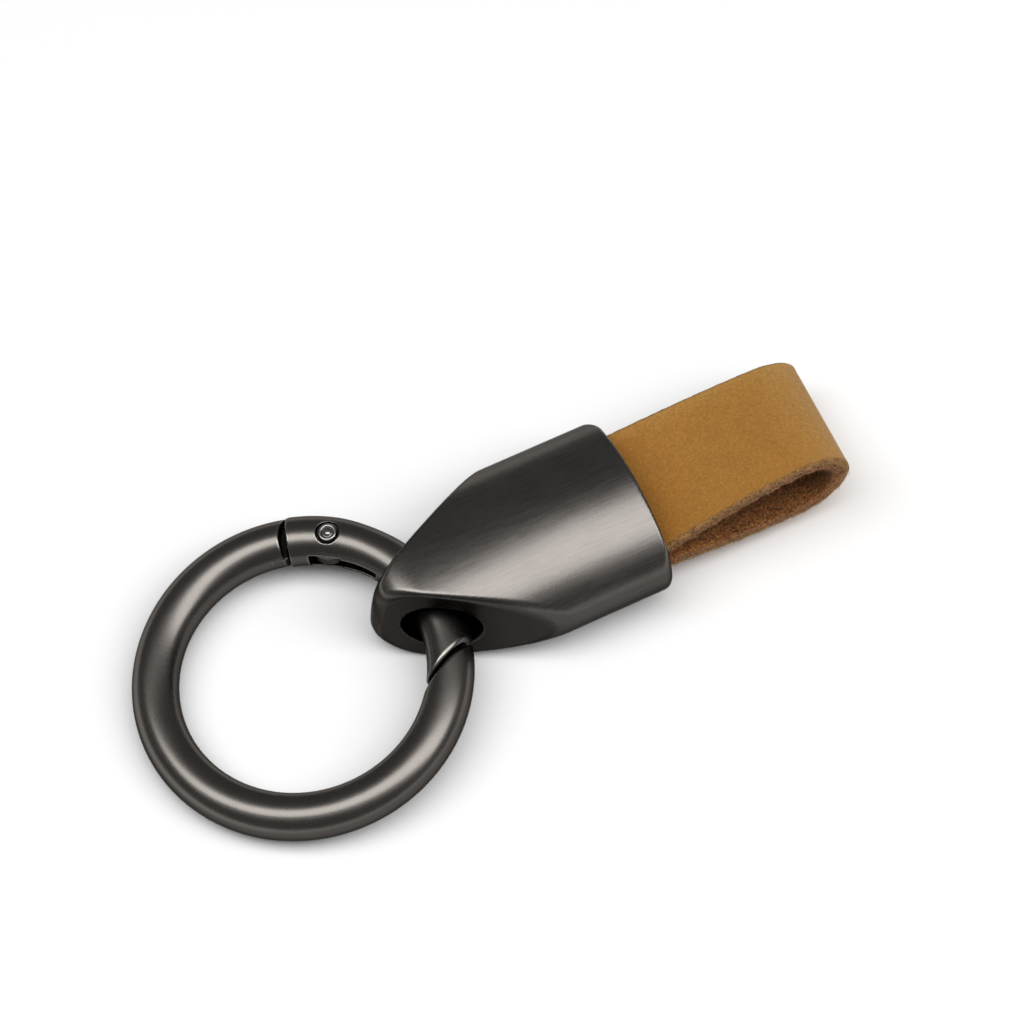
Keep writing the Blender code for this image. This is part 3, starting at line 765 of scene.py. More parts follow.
@dataclass(frozen=True)
class Hood:
    """Cast hood: an oval body with two slanted cheeks, an eye across its nose and a pocket for the strap."""

    eye_x: float = -12.0
    nose_length: float = 6.05
    length: float = 23.36 + 6.05
    half_width: float = 9.9
    half_height: float = 6.25
    middle_z: float = 6.05
    section_power: float = 2.04
    cheek_half_width: float = 4.1
    cheek_angle: float = math.radians(28.5)
    cheek_lean: float = math.radians(5.5)
    nose_rounding: float = 4.6
    ridge_at_nose: float = 1.0
    ridge_at_eye: float = 0.45
    ridge_at_bend: float = 0.85
    ridge_far: float = 0.25
    ridge_to_bend: float = 12.0
    ridge_to_nose: float = 4.0
    ridge_nose_start: float = 1.0
    rim_at_top: float = 0.25
    rim_at_sides: float = 1.05
    rim_side_start: float = 0.7
    rim_side_span: float = 0.28
    rim_inner_edge: float = 0.3
    base_edge: float = 0.35
    eye_radius: float = 3.64
    eye_edge: float = 0.12
    pocket_depth: float = 11.5
    pocket_half_width: float = 7.5
    pocket_half_height: float = 2.65
    pocket_corner: float = 0.6
    screw_from_rim: float = 6.5
    screw_hole_radius: float = 1.55
    # Painted shade on the flats of the cheeks.
    cheek_painted_shade: float = 0.8
    # Painted shade on the steep flanks and underside.
    flank_painted_shade: float = 0.58
    crown: float = 0.36
    crown_width: float = 4.2
    crown_run: float = 20.0
    # Painted shade inside the eye and pocket, and how far out it reaches.
    inside_painted_shade: float = 0.85
    inside_onset: float = 0.4
    cheek_onset: float = 0.5
    cell: float = 0.165

    @property
    def nose_x(self) -> float:
        """Place of the nose's tip."""
        return self.eye_x - self.nose_length

    @property
    def rim_x(self) -> float:
        """Place of the rim."""
        return self.nose_x + self.length

    @property
    def nose_edge(self) -> float:
        """Radius of the nose's front edge, which rounds the corner of the two cheeks at the tip."""
        corner = self.cheek_half_width / math.tan(self.cheek_angle) - self.nose_length
        return corner / (1 / math.sin(self.cheek_angle) - 1)

    def oval(self, point: Array) -> Array:
        """Field of the oval body, as an endless bar along X."""
        power = self.section_power
        across = np.abs(point[..., 1]) / self.half_width
        up = np.abs(point[..., 2] - self.middle_z) / self.half_height
        share = np.maximum((across**power + up**power) ** (1 / power), TINY)
        side = (across / share) ** (power - 1) / self.half_width
        top = (up / share) ** (power - 1) / self.half_height
        crown = self.crown * np.exp(-((point[..., 1] / self.crown_width) ** 2))
        crown = crown * (point[..., 2] > self.middle_z) * ease((point[..., 0] - self.eye_x) / self.crown_run)
        return (share - 1) / np.hypot(side, top) - crown

    def wedge(self, point: Array) -> Array:
        """Field of the wedge between the two leaning cheeks, whose front edge is rounded."""
        sine, cosine = math.sin(self.cheek_angle), math.cos(self.cheek_angle)
        setback = (point[..., 2] - self.middle_z) * math.tan(self.cheek_lean) / math.tan(self.cheek_angle)
        ahead = point[..., 0] - self.nose_x - self.nose_edge - setback
        across = np.abs(point[..., 1])
        flat = across * cosine - ahead * sine
        return np.where(ahead * cosine + across * sine < 0, np.hypot(ahead, across), flat) - self.nose_edge

    def eye(self, point: Array) -> Array:
        """Field of the eye, a hole along Y."""
        return np.hypot(point[..., 0] - self.eye_x, point[..., 2] - self.middle_z) - self.eye_radius

    def pocket(self, point: Array) -> Array:
        """Field of the pocket that takes the two ends of the strap."""
        corner = self.pocket_corner
        across = np.abs(point[..., 1]) - self.pocket_half_width + corner
        up = np.abs(point[..., 2] - self.middle_z) - self.pocket_half_height + corner
        outside = np.hypot(np.maximum(across, 0), np.maximum(up, 0))
        section = outside + np.minimum(np.maximum(across, up), 0) - corner
        return np.maximum(section, self.rim_x - self.pocket_depth - point[..., 0])

    def screw_hole(self, point: Array) -> Array:
        """Field of the screw's hole, from the underside into the pocket."""
        out = np.hypot(point[..., 0] - self.rim_x + self.screw_from_rim, point[..., 1])
        return np.maximum(out - self.screw_hole_radius, point[..., 2] - self.middle_z)

    def ridge(self, point: Array) -> Array:
        """Radius of the ridge between the top and a cheek: crisp over the eye and all along the far side."""
        past_eye = point[..., 0] - self.eye_x
        to_bend = ease(past_eye / self.ridge_to_bend) * (self.ridge_at_bend - self.ridge_at_eye)
        nose = ease((-self.ridge_nose_start - past_eye) / self.ridge_to_nose)
        to_nose = nose * (self.ridge_at_nose - self.ridge_at_eye)
        far = ease(point[..., 1] / 2 + 0.5)
        return to_nose + (1 - far) * (self.ridge_at_eye + to_bend) + far * self.ridge_far

    def rim(self, point: Array) -> Array:
        """Radius of the rim's outer edge: crisp over the strap, round at the two sides."""
        side = ease((np.abs(point[..., 1]) / self.half_width - self.rim_side_start) / self.rim_side_span)
        return self.rim_at_top + side * (self.rim_at_sides - self.rim_at_top)

    def recess(self, point: Array) -> Array:
        """How much painted shade a point of the surface gets: in the eye and pocket, and on the flat of a
        cheek.
        """
        inside = nearness(np.minimum(self.eye(point), self.pocket(point)), self.inside_onset)
        cheek = self.cheek_painted_shade * ease(1 + self.wedge(point) / self.cheek_onset)
        return np.maximum(self.inside_painted_shade * inside, cheek)

    def solid(self, point: Array) -> Array:
        """Field of the whole hood."""
        return carved(
            self.oval(point),
            (self.nose_x - point[..., 0], self.nose_rounding),
            (point[..., 0] - self.rim_x, self.rim(point)),
            (self.wedge(point), self.ridge(point)),
            (-point[..., 2], self.base_edge),
            (-self.eye(point), self.eye_edge),
            (-self.pocket(point), self.rim_inner_edge),
            (-self.screw_hole(point), self.base_edge),
        )

    def build(self) -> None:
        """Build the hood."""
        low = Vector((self.nose_x, -self.half_width, 0))
        box = (low, Vector((self.rim_x, self.half_width, self.middle_z + self.half_height + self.crown)))
        place = Matrix.Identity(4)
        piece = field_piece("hood_casting", self.solid, self.recess, self.cell, box, place, self.flank_painted_shade)
        finish_piece(piece, GUNMETAL_CAST.make(), Body.HOOD, "hood_metal", "hood")


@dataclass(frozen=True)
class StrapScrew:
    """Grub screw in the hood's underside, with a hexagonal socket."""

    hood: Hood
    radius: float = 1.45
    low: float = 0.2
    length: float = 3.2
    point_length: float = 0.6
    socket_half_across: float = 0.75
    socket_depth: float = 1.2
    edge: float = 0.1
    # Painted shade in the socket, and how far out it reaches.
    socket_painted_shade: float = 0.6
    socket_onset: float = 0.15
    cell: float = 0.06

    def hexagon(self, point: Array) -> Array:
        """Field of the socket."""
        sides = [
            np.abs(point[..., 0] * math.cos(turn) + point[..., 1] * math.sin(turn)) - self.socket_half_across
            for turn in (0, math.pi / 3, 2 * math.pi / 3)
        ]
        return np.maximum(np.maximum.reduce(sides), point[..., 2] - self.socket_depth)

    def socket(self, point: Array) -> Array:
        """How much painted shade a point of the surface gets in the socket."""
        return self.socket_painted_shade * nearness(self.hexagon(point), self.socket_onset)

    def solid(self, point: Array) -> Array:
        """Field of the screw about its own axis."""
        past_radius, height = reach_of(point) - self.radius, point[..., 2]
        ends = np.maximum(-height, height - self.length)
        taper = (past_radius + self.point_length + height - self.length) * math.sqrt(0.5)
        return carved(past_radius, (ends, self.edge), (taper, self.edge), (-self.hexagon(point), self.edge))

    def build(self) -> None:
        """Build the screw."""
        radius = self.radius
        box = (Vector((-radius, -radius, 0)), Vector((radius, radius, self.length)))
        place = Matrix.Translation((self.hood.rim_x - self.hood.screw_from_rim, 0, self.low))
        piece = field_piece("grub_screw", self.solid, self.socket, self.cell, box, place, 0.0)
        finish_piece(piece, DARK_STEEL.make(), Body.HOOD, "screw_steel", "strap_screw")


@dataclass(frozen=True)
class Strap:
    """Leather band, folded into a loop, with both its ends tucked into the hood."""

    rim_x: float
    middle_z: float
    width: float = 14.4
    leather: float = 1.95
    leg_gap: float = 0.8
    tuck: float = 11.2
    to_bulge: float = 15.9
    to_fold: float = 21.3
    far_fold_extra: float = 1.3
    bulge_near: float = 4.15
    bulge_far: float = 3.3
    far_sag: float = 0.35
    near_edge_lift: float = 1.4
    corner: float = 0.45
    ragged: float = 0.7
    skin: float = 0.25
    edge_trim: float = 0.04
    edge_wander: float = 0.11
    edge_waves: tuple[Triple, ...] = ((2.3, 0.4, 0.5), (1.27, 1.9, 0.3), (0.61, 3.1, 0.25), (0.37, 5.2, 0.18))
    wave_lean: float = 2.2
    lower_wander: float = 0.45
    far_wander: float = 0.2
    lip_width: float = 0.9
    lip_height: float = 0.05
    raw_start: float = 0.5
    raw_span: float = 0.6
    tuck_steps: int = 24
    rise_steps: int = 56
    fold_steps: int = 26
    across_steps: int = 44
    corner_steps: int = 4
    edge_rows: int = 7
    edge_crowding: float = 1.25

    def leg(self, y: Array, bulge: Array) -> tuple[Array, Array]:
        """One half of the leather's middle line, from its tucked end to the fold.

        Args:
            y: Places across the band.
            bulge: Height of the loop's bulge at each of them.

        Returns:
            Coordinates along X and Z, with a row for each step of the line.
        """
        to_bulge = self.to_bulge + self.far_fold_extra * (y / self.width + 0.5)
        fold = self.to_fold - self.to_bulge - self.leather / 2
        leg = (self.leather + self.leg_gap) / 2
        tucked = np.arange(self.tuck_steps)[:, None] / self.tuck_steps
        risen = np.arange(self.rise_steps)[:, None] / self.rise_steps
        turned = math.pi / 2 * (1 - np.arange(self.fold_steps + 1)[:, None] / self.fold_steps)
        flat = np.zeros_like(y)
        x = [self.rim_x - self.tuck * (1 - tucked) + flat, self.rim_x + to_bulge * risen]
        z = [leg + flat + 0 * tucked, leg + (bulge - leg) * np.sin(risen * math.pi / 2)]
        x.append(self.rim_x + to_bulge + fold * np.cos(turned))
        z.append(bulge * np.sin(turned))
        return np.concatenate(x), np.concatenate(z)

    def line(self, y: Array) -> Array:
        """The leather's middle line at places across the band, from one tucked end to the other."""
        across = y / self.width + 0.5
        bulge = self.bulge_near + (self.bulge_far - self.bulge_near) * across
        upper_x, upper_z = self.leg(y, bulge)
        lower_x, lower_z = self.leg(y, bulge + self.far_sag * across)
        x = np.concatenate([upper_x, lower_x[-2::-1]])
        z = np.concatenate([upper_z, -lower_z[-2::-1]])
        share = np.clip((x - self.rim_x) / self.to_fold, 0, 1)
        lift = -2 * y / self.width * self.near_edge_lift * np.sin(share * math.pi / 2)
        return np.stack([x, np.broadcast_to(y, x.shape), self.middle_z + z + lift], axis=-1)

    def section(self) -> tuple[Array, Array, Array]:
        """Outline of the band's section, from its near edge over the outer face and back inside.

        Returns:
            Places across the band, places through its thickness, and how far each is on a cut edge.
        """
        half, thick, corner = self.width / 2, self.leather / 2, self.corner
        steps = np.linspace(-1, 1, self.across_steps + 1)
        quarter = np.linspace(0, math.pi / 2, self.corner_steps + 1)[1:-1]
        flat = (half - corner) * np.sign(steps) * (1 - (1 - np.abs(steps)) ** self.edge_crowding)
        rise = np.linspace(1, -1, self.edge_rows) * (thick - corner)
        turn_y, turn_z = half - corner + corner * np.sin(quarter), thick - corner + corner * np.cos(quarter)
        side_y = np.concatenate([turn_y, np.full(self.edge_rows, half), turn_y[::-1]])
        side_z = np.concatenate([turn_z, rise, -turn_z[::-1]])
        across = np.concatenate([flat, side_y, flat[::-1], -side_y])
        through = np.concatenate([np.full(len(flat), thick), side_z, np.full(len(flat), -thick), -side_z])
        return across, through, ease((np.abs(across) - half + corner) / corner)

    def build(self) -> None:
        """Build the strap and the loose fibres of its cut edges."""
        across, through, cut = self.section()
        middle = self.line(across)
        run = np.gradient(middle, axis=0)
        length = np.hypot(run[..., 0], run[..., 2])
        normal = np.stack([-run[..., 2] / length, 0 * length, run[..., 0] / length], axis=-1)
        travel = np.cumsum(length, axis=0)
        side, inset = np.sign(across), self.width / 2 - np.abs(across)
        wander = sum(
            np.sin(travel * 2 * math.pi / size + phase * side + self.wave_lean * through) * share
            for size, phase, share in self.edge_waves
        )
        points = middle + normal * through[:, None]
        upper = (np.arange(len(middle)) < len(middle) / 2)[:, None]
        wander = wander * np.where(side < 0, np.where(upper, 1.0, self.lower_wander), self.far_wander)
        points[..., 1] += side * cut * (self.edge_wander * wander - self.edge_trim)
        lip = np.clip(1 - inset / self.lip_width, 0, 1) * (through > 0)
        points += normal * (lip * self.lip_height * (1 + wander))[..., None] * (cut < 1)[:, None]
        rows = len(points)
        faces = band_faces(rows, len(across)).reshape(-1, 4).tolist()
        last = len(across) * (rows - 1)
        faces += [list(range(len(across))), list(range(last, last + len(across)))[::-1]]
        raw = ease((through - self.skin + self.raw_start) / self.raw_span)
        marks = {
            "flesh": np.tile((through < self.skin).astype(float), rows),
            "cut": np.tile(np.clip(1 - inset / self.ragged, 0, 1) * raw, rows),
        }
        piece = mesh_piece("strap_band", points.reshape(-1, 3), faces, marks)
        finish_piece(piece, NUBUCK.make(), Body.HOOD, "strap_leather", "strap")
        EdgeFibres().build(points, cut * (side < 0))


@dataclass(frozen=True)
class EdgeFibres:
    """Loose fibres that stand out of the strap's cut edges."""

    density: float = 9.0
    length: float = 0.3
    radius: float = 0.016
    seed: int = 11
    least_cut: float = 0.4
    hidden: float = 11.4
    sides: int = 3
    root: Triple = (0, 0, -0.25)
    bend: Triple = (0, 0.05, 0.6)
    tip: Triple = (0.45, 0.2, 0.8)
    lean: float = 0.7
    shortest: float = 0.45
    longest: float = 1.2

    def tree(self, maker: TreeMaker, given: Wire) -> Wire:
        """Scatter bent fibres over the faces that the tree is given.

        Args:
            maker: The tree's maker.
            given: Its inputs.

        Returns:
            The fibres.
        """
        seed = given.out("Seed")
        inputs = {"Mesh": given.out("Geometry"), "Density": given.out("Density"), "Seed": seed}
        scatter = maker.node("GeometryNodeDistributePointsOnFaces", inputs)
        stem = {"Resolution": self.sides, "Start": self.root, "Middle": self.bend, "End": self.tip}
        stem = maker.node("GeometryNodeCurveQuadraticBezier", stem)
        fibre = maker.sweep(stem, given.out("Radius"), self.sides)
        turns = {0: (-self.lean, -self.lean, 0.0), 1: (self.lean, self.lean, 2 * math.pi), "Seed": seed}
        spin = maker.node("FunctionNodeRandomValue", turns, data_type="FLOAT_VECTOR")
        spin = maker.node("FunctionNodeEulerToRotation", {0: spin})
        turn = {"Rotation": scatter.out("Rotation"), "Rotate By": spin}
        turn = maker.node("FunctionNodeRotateRotation", turn, rotation_space="LOCAL")
        size = maker.node("FunctionNodeRandomValue", {2: self.shortest, 3: self.longest, "Seed": seed})
        size = size.out(1) * given.out("Length")
        inputs = {"Points": scatter, "Instance": fibre, "Rotation": turn, "Scale": size}
        return maker.node("GeometryNodeInstanceOnPoints", inputs)

    def build(self, points: Array, cut: Array) -> None:
        """Scatter the fibres over the strap's cut edges, outside the hood.

        Args:
            points: Rows of the strap's points, with a column for each place of its section.
            cut: How far each place of the section is on a cut edge.
        """
        on_edge = np.minimum(cut, np.roll(cut, -1)) > self.least_cut
        outside = points[:-1, :, 0].min(axis=1) > points[:, :, 0].min() + self.hidden
        faces = band_faces(*points.shape[:2])[outside][:, on_edge].reshape(-1, 4)
        used, faces = np.unique(faces, return_inverse=True)
        source = mesh_piece("fibre_source", points.reshape(-1, 3)[used], faces.reshape(-1, 4).tolist())
        material = EDGE_FIBRE.make()
        values = {
            "Density": self.density / MM**2,
            "Length": self.length * MM,
            "Radius": self.radius / self.length,
            "Seed": self.seed,
            "Material": material,
        }
        piece = grown("strap_fibres", source, self.tree, values)
        finish_piece(piece, material, Body.HOOD, "strap_leather")


def grown(name: str, source: Piece, draw: Callable[[TreeMaker, Wire], Wire], values: dict[str, Any]) -> Piece:
    """Run a geometry tree on an object and keep the result as a plain mesh.

    Args:
        name: Name of the result.
        source: Object that the tree starts from, which is removed.
        draw: Draws the tree with a maker and the tree's inputs, and returns the geometry.
        values: Values of the tree's inputs by name, with the material among them.

    Returns:
        The plain object.
    """
    tree = bpy.data.node_groups.new(name, "GeometryNodeTree")
    modifier = source.modifiers.new(name, "NODES")
    modifier.node_group = tree
    tree.interface.new_socket("Geometry", in_out="INPUT", socket_type="NodeSocketGeometry")
    for label, value in values.items():
        socket = tree.interface.new_socket(label, in_out="INPUT", socket_type=SOCKET_OF[type(value)])
        modifier[socket.identifier] = value
    tree.interface.new_socket("Geometry", in_out="OUTPUT", socket_type="NodeSocketGeometry")
    maker = TreeMaker(tree)
    given = maker.node("NodeGroupInput")
    real = maker.node("GeometryNodeRealizeInstances", {0: draw(maker, given)})
    inputs = {"Geometry": real, "Material": given.out("Material")}
    maker.node("NodeGroupOutput", {"Geometry": maker.node("GeometryNodeSetMaterial", inputs)})
    bpy.context.view_layer.update()
    graph = bpy.context.evaluated_depsgraph_get()
    mesh = bpy.data.meshes.new_from_object(source.evaluated_get(graph), depsgraph=graph)
    mesh.name = name
    source.modifiers.remove(modifier)
    bpy.data.objects.remove(source)
    return add_object(name, mesh)


@dataclass(frozen=True)
class Ring:
    """Ring of round wire, drawn about its own centre with the eye at angle 0: its fixed body and its gate."""

    radius: float = 15.0
    wire: float = 2.4
    eye_wire_x: float = -11.63
    offset_y: float = -1.86
    eye_wire_z: float = 5.35
    pivot: float = math.radians(54.3)
    tail: float = 3.8
    tail_end: float = 4.3
    tail_clear: float = 0.13
    shoulder_gap: float = 0.47
    swell: float = 0.15
    swell_start: float = math.radians(36.0)
    cut_angle: float = math.radians(-23.7)
    cut_slant: float = math.radians(44.0)
    cut_gap: float = 0.36
    cut_edge: float = 0.28
    cut_bevel: float = 0.5
    gate_side_x: float = 3.0
    gate_box_x: float = 3.75
    shoulder_edge: float = 0.16
    tail_edge: float = 0.14
    tongue_half: float = 0.8
    knuckle_radius: float = 2.25
    knuckle_outer: float = 1.35
    heel: float = 1.6
    bar_inner: float = 1.0
    bar_root: float = math.radians(5.0)
    web_inner: float = 2.25
    web_gap: float = 0.12
    inner_edge: float = 0.12
    play: float = 0.3
    bar_play: float = 0.65
    window_past_pivot: float = math.radians(7.7)
    slot_half: float = 0.9
    slot_depth: float = 1.9
    slot_length: float = math.radians(25.3)
    channel_length_angle: float = math.radians(27.8)
    channel_radius: float = 1.25
    plunger_offset: float = 0.8
    hole_radius: float = 0.85
    recess_radius: float = 1.2
    recess_depth: float = 0.6
    # Painted shade on the steep flanks and underside.
    flank_painted_shade: float = 0.55
    # Painted shade in the shoulder's hollow and on the tongue, kept off most of the knuckle.
    hinge_onset: float = 0.25
    hinge_margin: float = 0.12
    knuckle_margin: float = 0.2
    knuckle_onset: float = 0.1
    knuckle_shade_spared: float = 0.8
    # Painted shade in the gate's hollows, and how far out it reaches.
    hollow_tone: float = 0.9
    hollow_onset: float = 0.15
    body_cell: float = 0.15
    gate_cell: float = 0.11

    @property
    def frame(self) -> Matrix:
        """Frame of the ring: origin at its centre, X towards the eye, Z square to its plane."""
        tilt = math.asin((self.eye_wire_z - self.wire) / (2 * self.radius))
        place = Matrix.Translation((self.eye_wire_x, self.offset_y, self.eye_wire_z))
        return place @ Matrix.Rotation(-tilt, 4, "Y") @ Matrix.Translation((-self.radius, 0, 0))

    @property
    def shoulder_radius(self) -> float:
        """Radius of the hollow in the body's shoulder, about the hinge."""
        return math.hypot(self.tail, self.wire + self.swell) + self.shoulder_gap

    def spot(self, angle: float, height: float = 0.0) -> Vector:
        """Point on the wire's middle line, or above it."""
        return Vector((self.radius * math.cos(angle), self.radius * math.sin(angle), height))

    def chord_angle(self, chord: float) -> float:
        """Angle that a chord of the wire's middle line spans."""
        return 2 * math.asin(chord / (2 * self.radius))

    def hinge_place(self, point: Array) -> tuple[Array, Array]:
        """Distances of a point from the hinge's axis, outwards and along the ring."""
        x, y = point[..., 0] - self.spot(self.pivot).x, point[..., 1] - self.spot(self.pivot).y
        cosine, sine = math.cos(self.pivot), math.sin(self.pivot)
        return x * cosine + y * sine, y * cosine - x * sine

    def from_pivot(self, point: Array) -> Array:
        """Distance of a point from the hinge's axis."""
        return np.hypot(*self.hinge_place(point))

    def cut_distance(self, point: Array) -> Array:
        """Distance of a point past the slanted cut, above zero on the gate's side."""
        turn = self.cut_angle + self.cut_slant
        spot = self.spot(self.cut_angle)
        return (point[..., 1] - spot.y) * math.cos(turn) - (point[..., 0] - spot.x) * math.sin(turn)

    def tongue(self, point: Array) -> Array:
        """Field of the body's thin tongue and its knuckle."""
        reach = reach_of(point)
        out, along = self.hinge_place(point)
        root = self.pivot + self.chord_angle(self.shoulder_radius) + self.bar_root
        width = np.maximum(reach - self.radius - self.knuckle_outer, self.radius - self.bar_inner - reach)
        beyond_tail = line_distance(point, self.pivot + self.chord_angle(self.tail_end)) - self.web_gap
        web = np.maximum(self.radius - self.web_inner - reach, -beyond_tail)
        bar = np.minimum(np.maximum(width, -along), np.maximum(web, reach - self.radius))
        bar = np.maximum(bar, line_distance(point, root))
        knuckle = np.hypot(out, along) - self.knuckle_radius
        sides = ((out - self.knuckle_outer, self.inner_edge), (-self.heel - along, self.inner_edge))
        knuckle = carved(knuckle, *sides)
        return round_max(np.minimum(bar, knuckle), np.abs(point[..., 2]) - self.tongue_half, self.inner_edge)

    def body_solid(self, point: Array) -> Array:
        """Field of the fixed body: hollow shoulder, tongue and slanted end."""
        reach = reach_of(point)
        wire = np.hypot(reach - self.radius, point[..., 2]) - self.wire
        from_pivot = self.from_pivot(point)
        before_tail = -line_distance(point, self.pivot + self.chord_angle(self.tail) / 2)
        side = point[..., 0] - self.gate_side_x
        gate_room = np.minimum.reduce([self.cut_distance(point) + self.cut_gap / 2, before_tail, side])
        shoulder = (self.shoulder_radius - from_pivot, self.shoulder_edge)
        solid = carved(wire, (gate_room, self.cut_edge), shoulder)
        solid = round_min(solid, self.tongue(point), self.inner_edge)
        return round_max(solid, self.hole_radius - from_pivot, self.inner_edge / 2)

    def hinge_recess(self, point: Array) -> Array:
        """How much painted shade a point of the body's surface gets: in the shoulder's hollow and on the
        tongue, less on the knuckle.
        """
        from_pivot = self.from_pivot(point)
        on_knuckle = ease((self.knuckle_radius + self.knuckle_margin - from_pivot) / self.knuckle_onset)
        hollow = ease((self.shoulder_radius + self.hinge_margin - from_pivot) / self.hinge_onset)
        return hollow * (1 - self.knuckle_shade_spared * on_knuckle)

    def gate_recess(self, point: Array) -> Array:
        """How much painted shade a point of the gate's surface gets in its hollows."""
        return self.hollow_tone * nearness(self.hollows(point), self.hollow_onset)

    def channel(self) -> tuple[Vector, Vector]:
        """Start and end of the spring channel's axis, from the tongue's heel to the blind end."""
        out = Vector((math.cos(self.pivot), math.sin(self.pivot), 0))
        along = Vector((-math.sin(self.pivot), math.cos(self.pivot), 0))
        start = self.spot(self.pivot) - along * (self.heel + self.play) - out * self.plunger_offset
        return start, self.spot(self.pivot - self.channel_length_angle)

    def hollows(self, point: Array) -> Array:
        """Field of the gate's pocket, window, slot, spring channel, rivet hole and its recesses."""
        reach = reach_of(point)
        height = np.abs(point[..., 2])
        heel = self.pivot - math.asin((self.heel + self.play) / self.radius)
        window = line_distance(point, self.pivot + self.window_past_pivot)
        wall = np.minimum(self.radius - self.bar_inner - self.bar_play - reach, window)
        pocket = [reach - self.radius - self.knuckle_outer - self.play, -line_distance(point, heel), wall]
        pocket = np.maximum.reduce([*pocket, height - self.tongue_half - self.play])
        slot = np.maximum.reduce(
            [
                reach - self.radius + self.wire - self.slot_depth,
                -line_distance(point, self.pivot - self.slot_length),
                line_distance(point, self.pivot),
                height - self.slot_half,
            ]
        )
        start, end = self.channel()
        way = np.array((end - start).normalized())
        offset = point - np.array(start)
        travel = offset @ way
        from_axis = np.linalg.norm(offset - travel[..., None] * way, axis=-1)
        ends = np.maximum(-travel - self.play, travel - (end - start).length)
        channel = np.maximum(from_axis - self.channel_radius, ends)
        from_pivot = self.from_pivot(point)
        floor = self.wire + self.swell - self.recess_depth
        recess = np.maximum(from_pivot - self.recess_radius, floor - height)
        return np.minimum.reduce([pocket, slot, channel, from_pivot - self.hole_radius, recess])

    def gate_solid(self, point: Array) -> Array:
        """Field of the sprung gate."""
        reach = reach_of(point)
        angle = np.arctan2(point[..., 1], point[..., 0])
        swell = self.swell * ease((angle - self.swell_start) / (self.pivot - self.swell_start))
        wire = np.hypot(reach - self.radius, point[..., 2]) - self.wire - swell
        solid = round_max(wire, self.cut_gap / 2 - self.cut_distance(point), self.cut_bevel)
        end = line_distance(point, self.pivot + self.chord_angle(self.tail_end))
        sweep = self.from_pivot(point) - self.shoulder_radius + self.tail_clear
        sweep = np.minimum(sweep, line_distance(point, self.pivot))
        solid = round_max(solid, np.maximum(end, sweep), self.tail_edge)
        return round_max(solid, -self.hollows(point), self.inner_edge)

    def build(self) -> None:
        """Build the body and the gate."""
        metal = GUNMETAL_WIRE.make()
        outer, thick = self.radius + self.wire + self.swell, self.wire + self.swell
        corner = Vector((outer, outer, thick))
        place, tone = self.frame, self.flank_painted_shade
        box = (-corner, corner)
        piece = field_piece("ring_bow", self.body_solid, self.hinge_recess, self.body_cell, box, place, tone)
        finish_piece(piece, metal, Body.RING, "ring_metal", "ring_body")
        box = (Vector((self.gate_box_x, -outer * math.sin(-2 * self.cut_angle), -thick)), corner)
        piece = field_piece("ring_gate", self.gate_solid, self.gate_recess, self.gate_cell, box, place, tone)
        finish_piece(piece, metal, Body.GATE, "ring_metal", "gate")


@dataclass(frozen=True)
class HingeRivet:
    """Hinge rivet: a shaft with a head at each end, each with a groove round a small dome."""

    ring: Ring
    shaft: float = 0.75
    head: float = 0.95
    clearance: float = 0.1
    groove: float = 0.22
    dome: float = 0.38
    edge: float = 0.06
    bead: float = 0.16
    groove_edge: float = 0.05
    dome_turns: tuple[float, ...] = (15, 30, 45, 60, 72, 83)
    rim_width: float = 0.12
    groove_width: float = 0.14
    groove_middle: float = 0.08
    margin: float = 0.1
    sides: int = 96

    def build(self) -> None:
        """Build the rivet."""
        ring = self.ring
        seat = ring.wire + ring.swell - ring.recess_depth + self.clearance
        top = ring.wire + ring.swell - self.clearance
        inner = self.dome + self.groove
        corners = [(self.shaft, seat, 0.0), (self.head, seat, self.edge), (self.head, top, self.bead)]
        corners += [(inner, top, self.bead), (inner, top - self.groove, self.groove_edge)]
        corners += [(self.dome, top - self.groove, 0.0)]
        dome = [
            (self.dome * math.cos(turn), top - self.groove * (1 - math.sin(turn)))
            for turn in np.radians(self.dome_turns)
        ]
        half = soft_profile(corners) + dome
        points, faces = turned_mesh([(r, -h) for r, h in reversed(half)] + half, self.sides)
        radius, height = reach_of(points), np.abs(points[:, 2])
        rim = nearness(np.abs(radius - self.head), self.rim_width) * (height > seat + self.margin)
        # The groove is darkened by painted shade, through the crease mark and the recess mark alike.
        crease = nearness(np.abs(radius - inner + self.groove_middle), self.groove_width)
        crease = crease * (height < top - self.margin)
        place = ring.frame @ Matrix.Translation(ring.spot(ring.pivot))
        piece = mesh_piece("rivet", points, faces, {"edge": rim, "crease": crease, "recess": crease}, place)
        finish_piece(piece, TURNED_STEEL.make(), Body.GATE, "rivet_steel", "hinge_rivet")


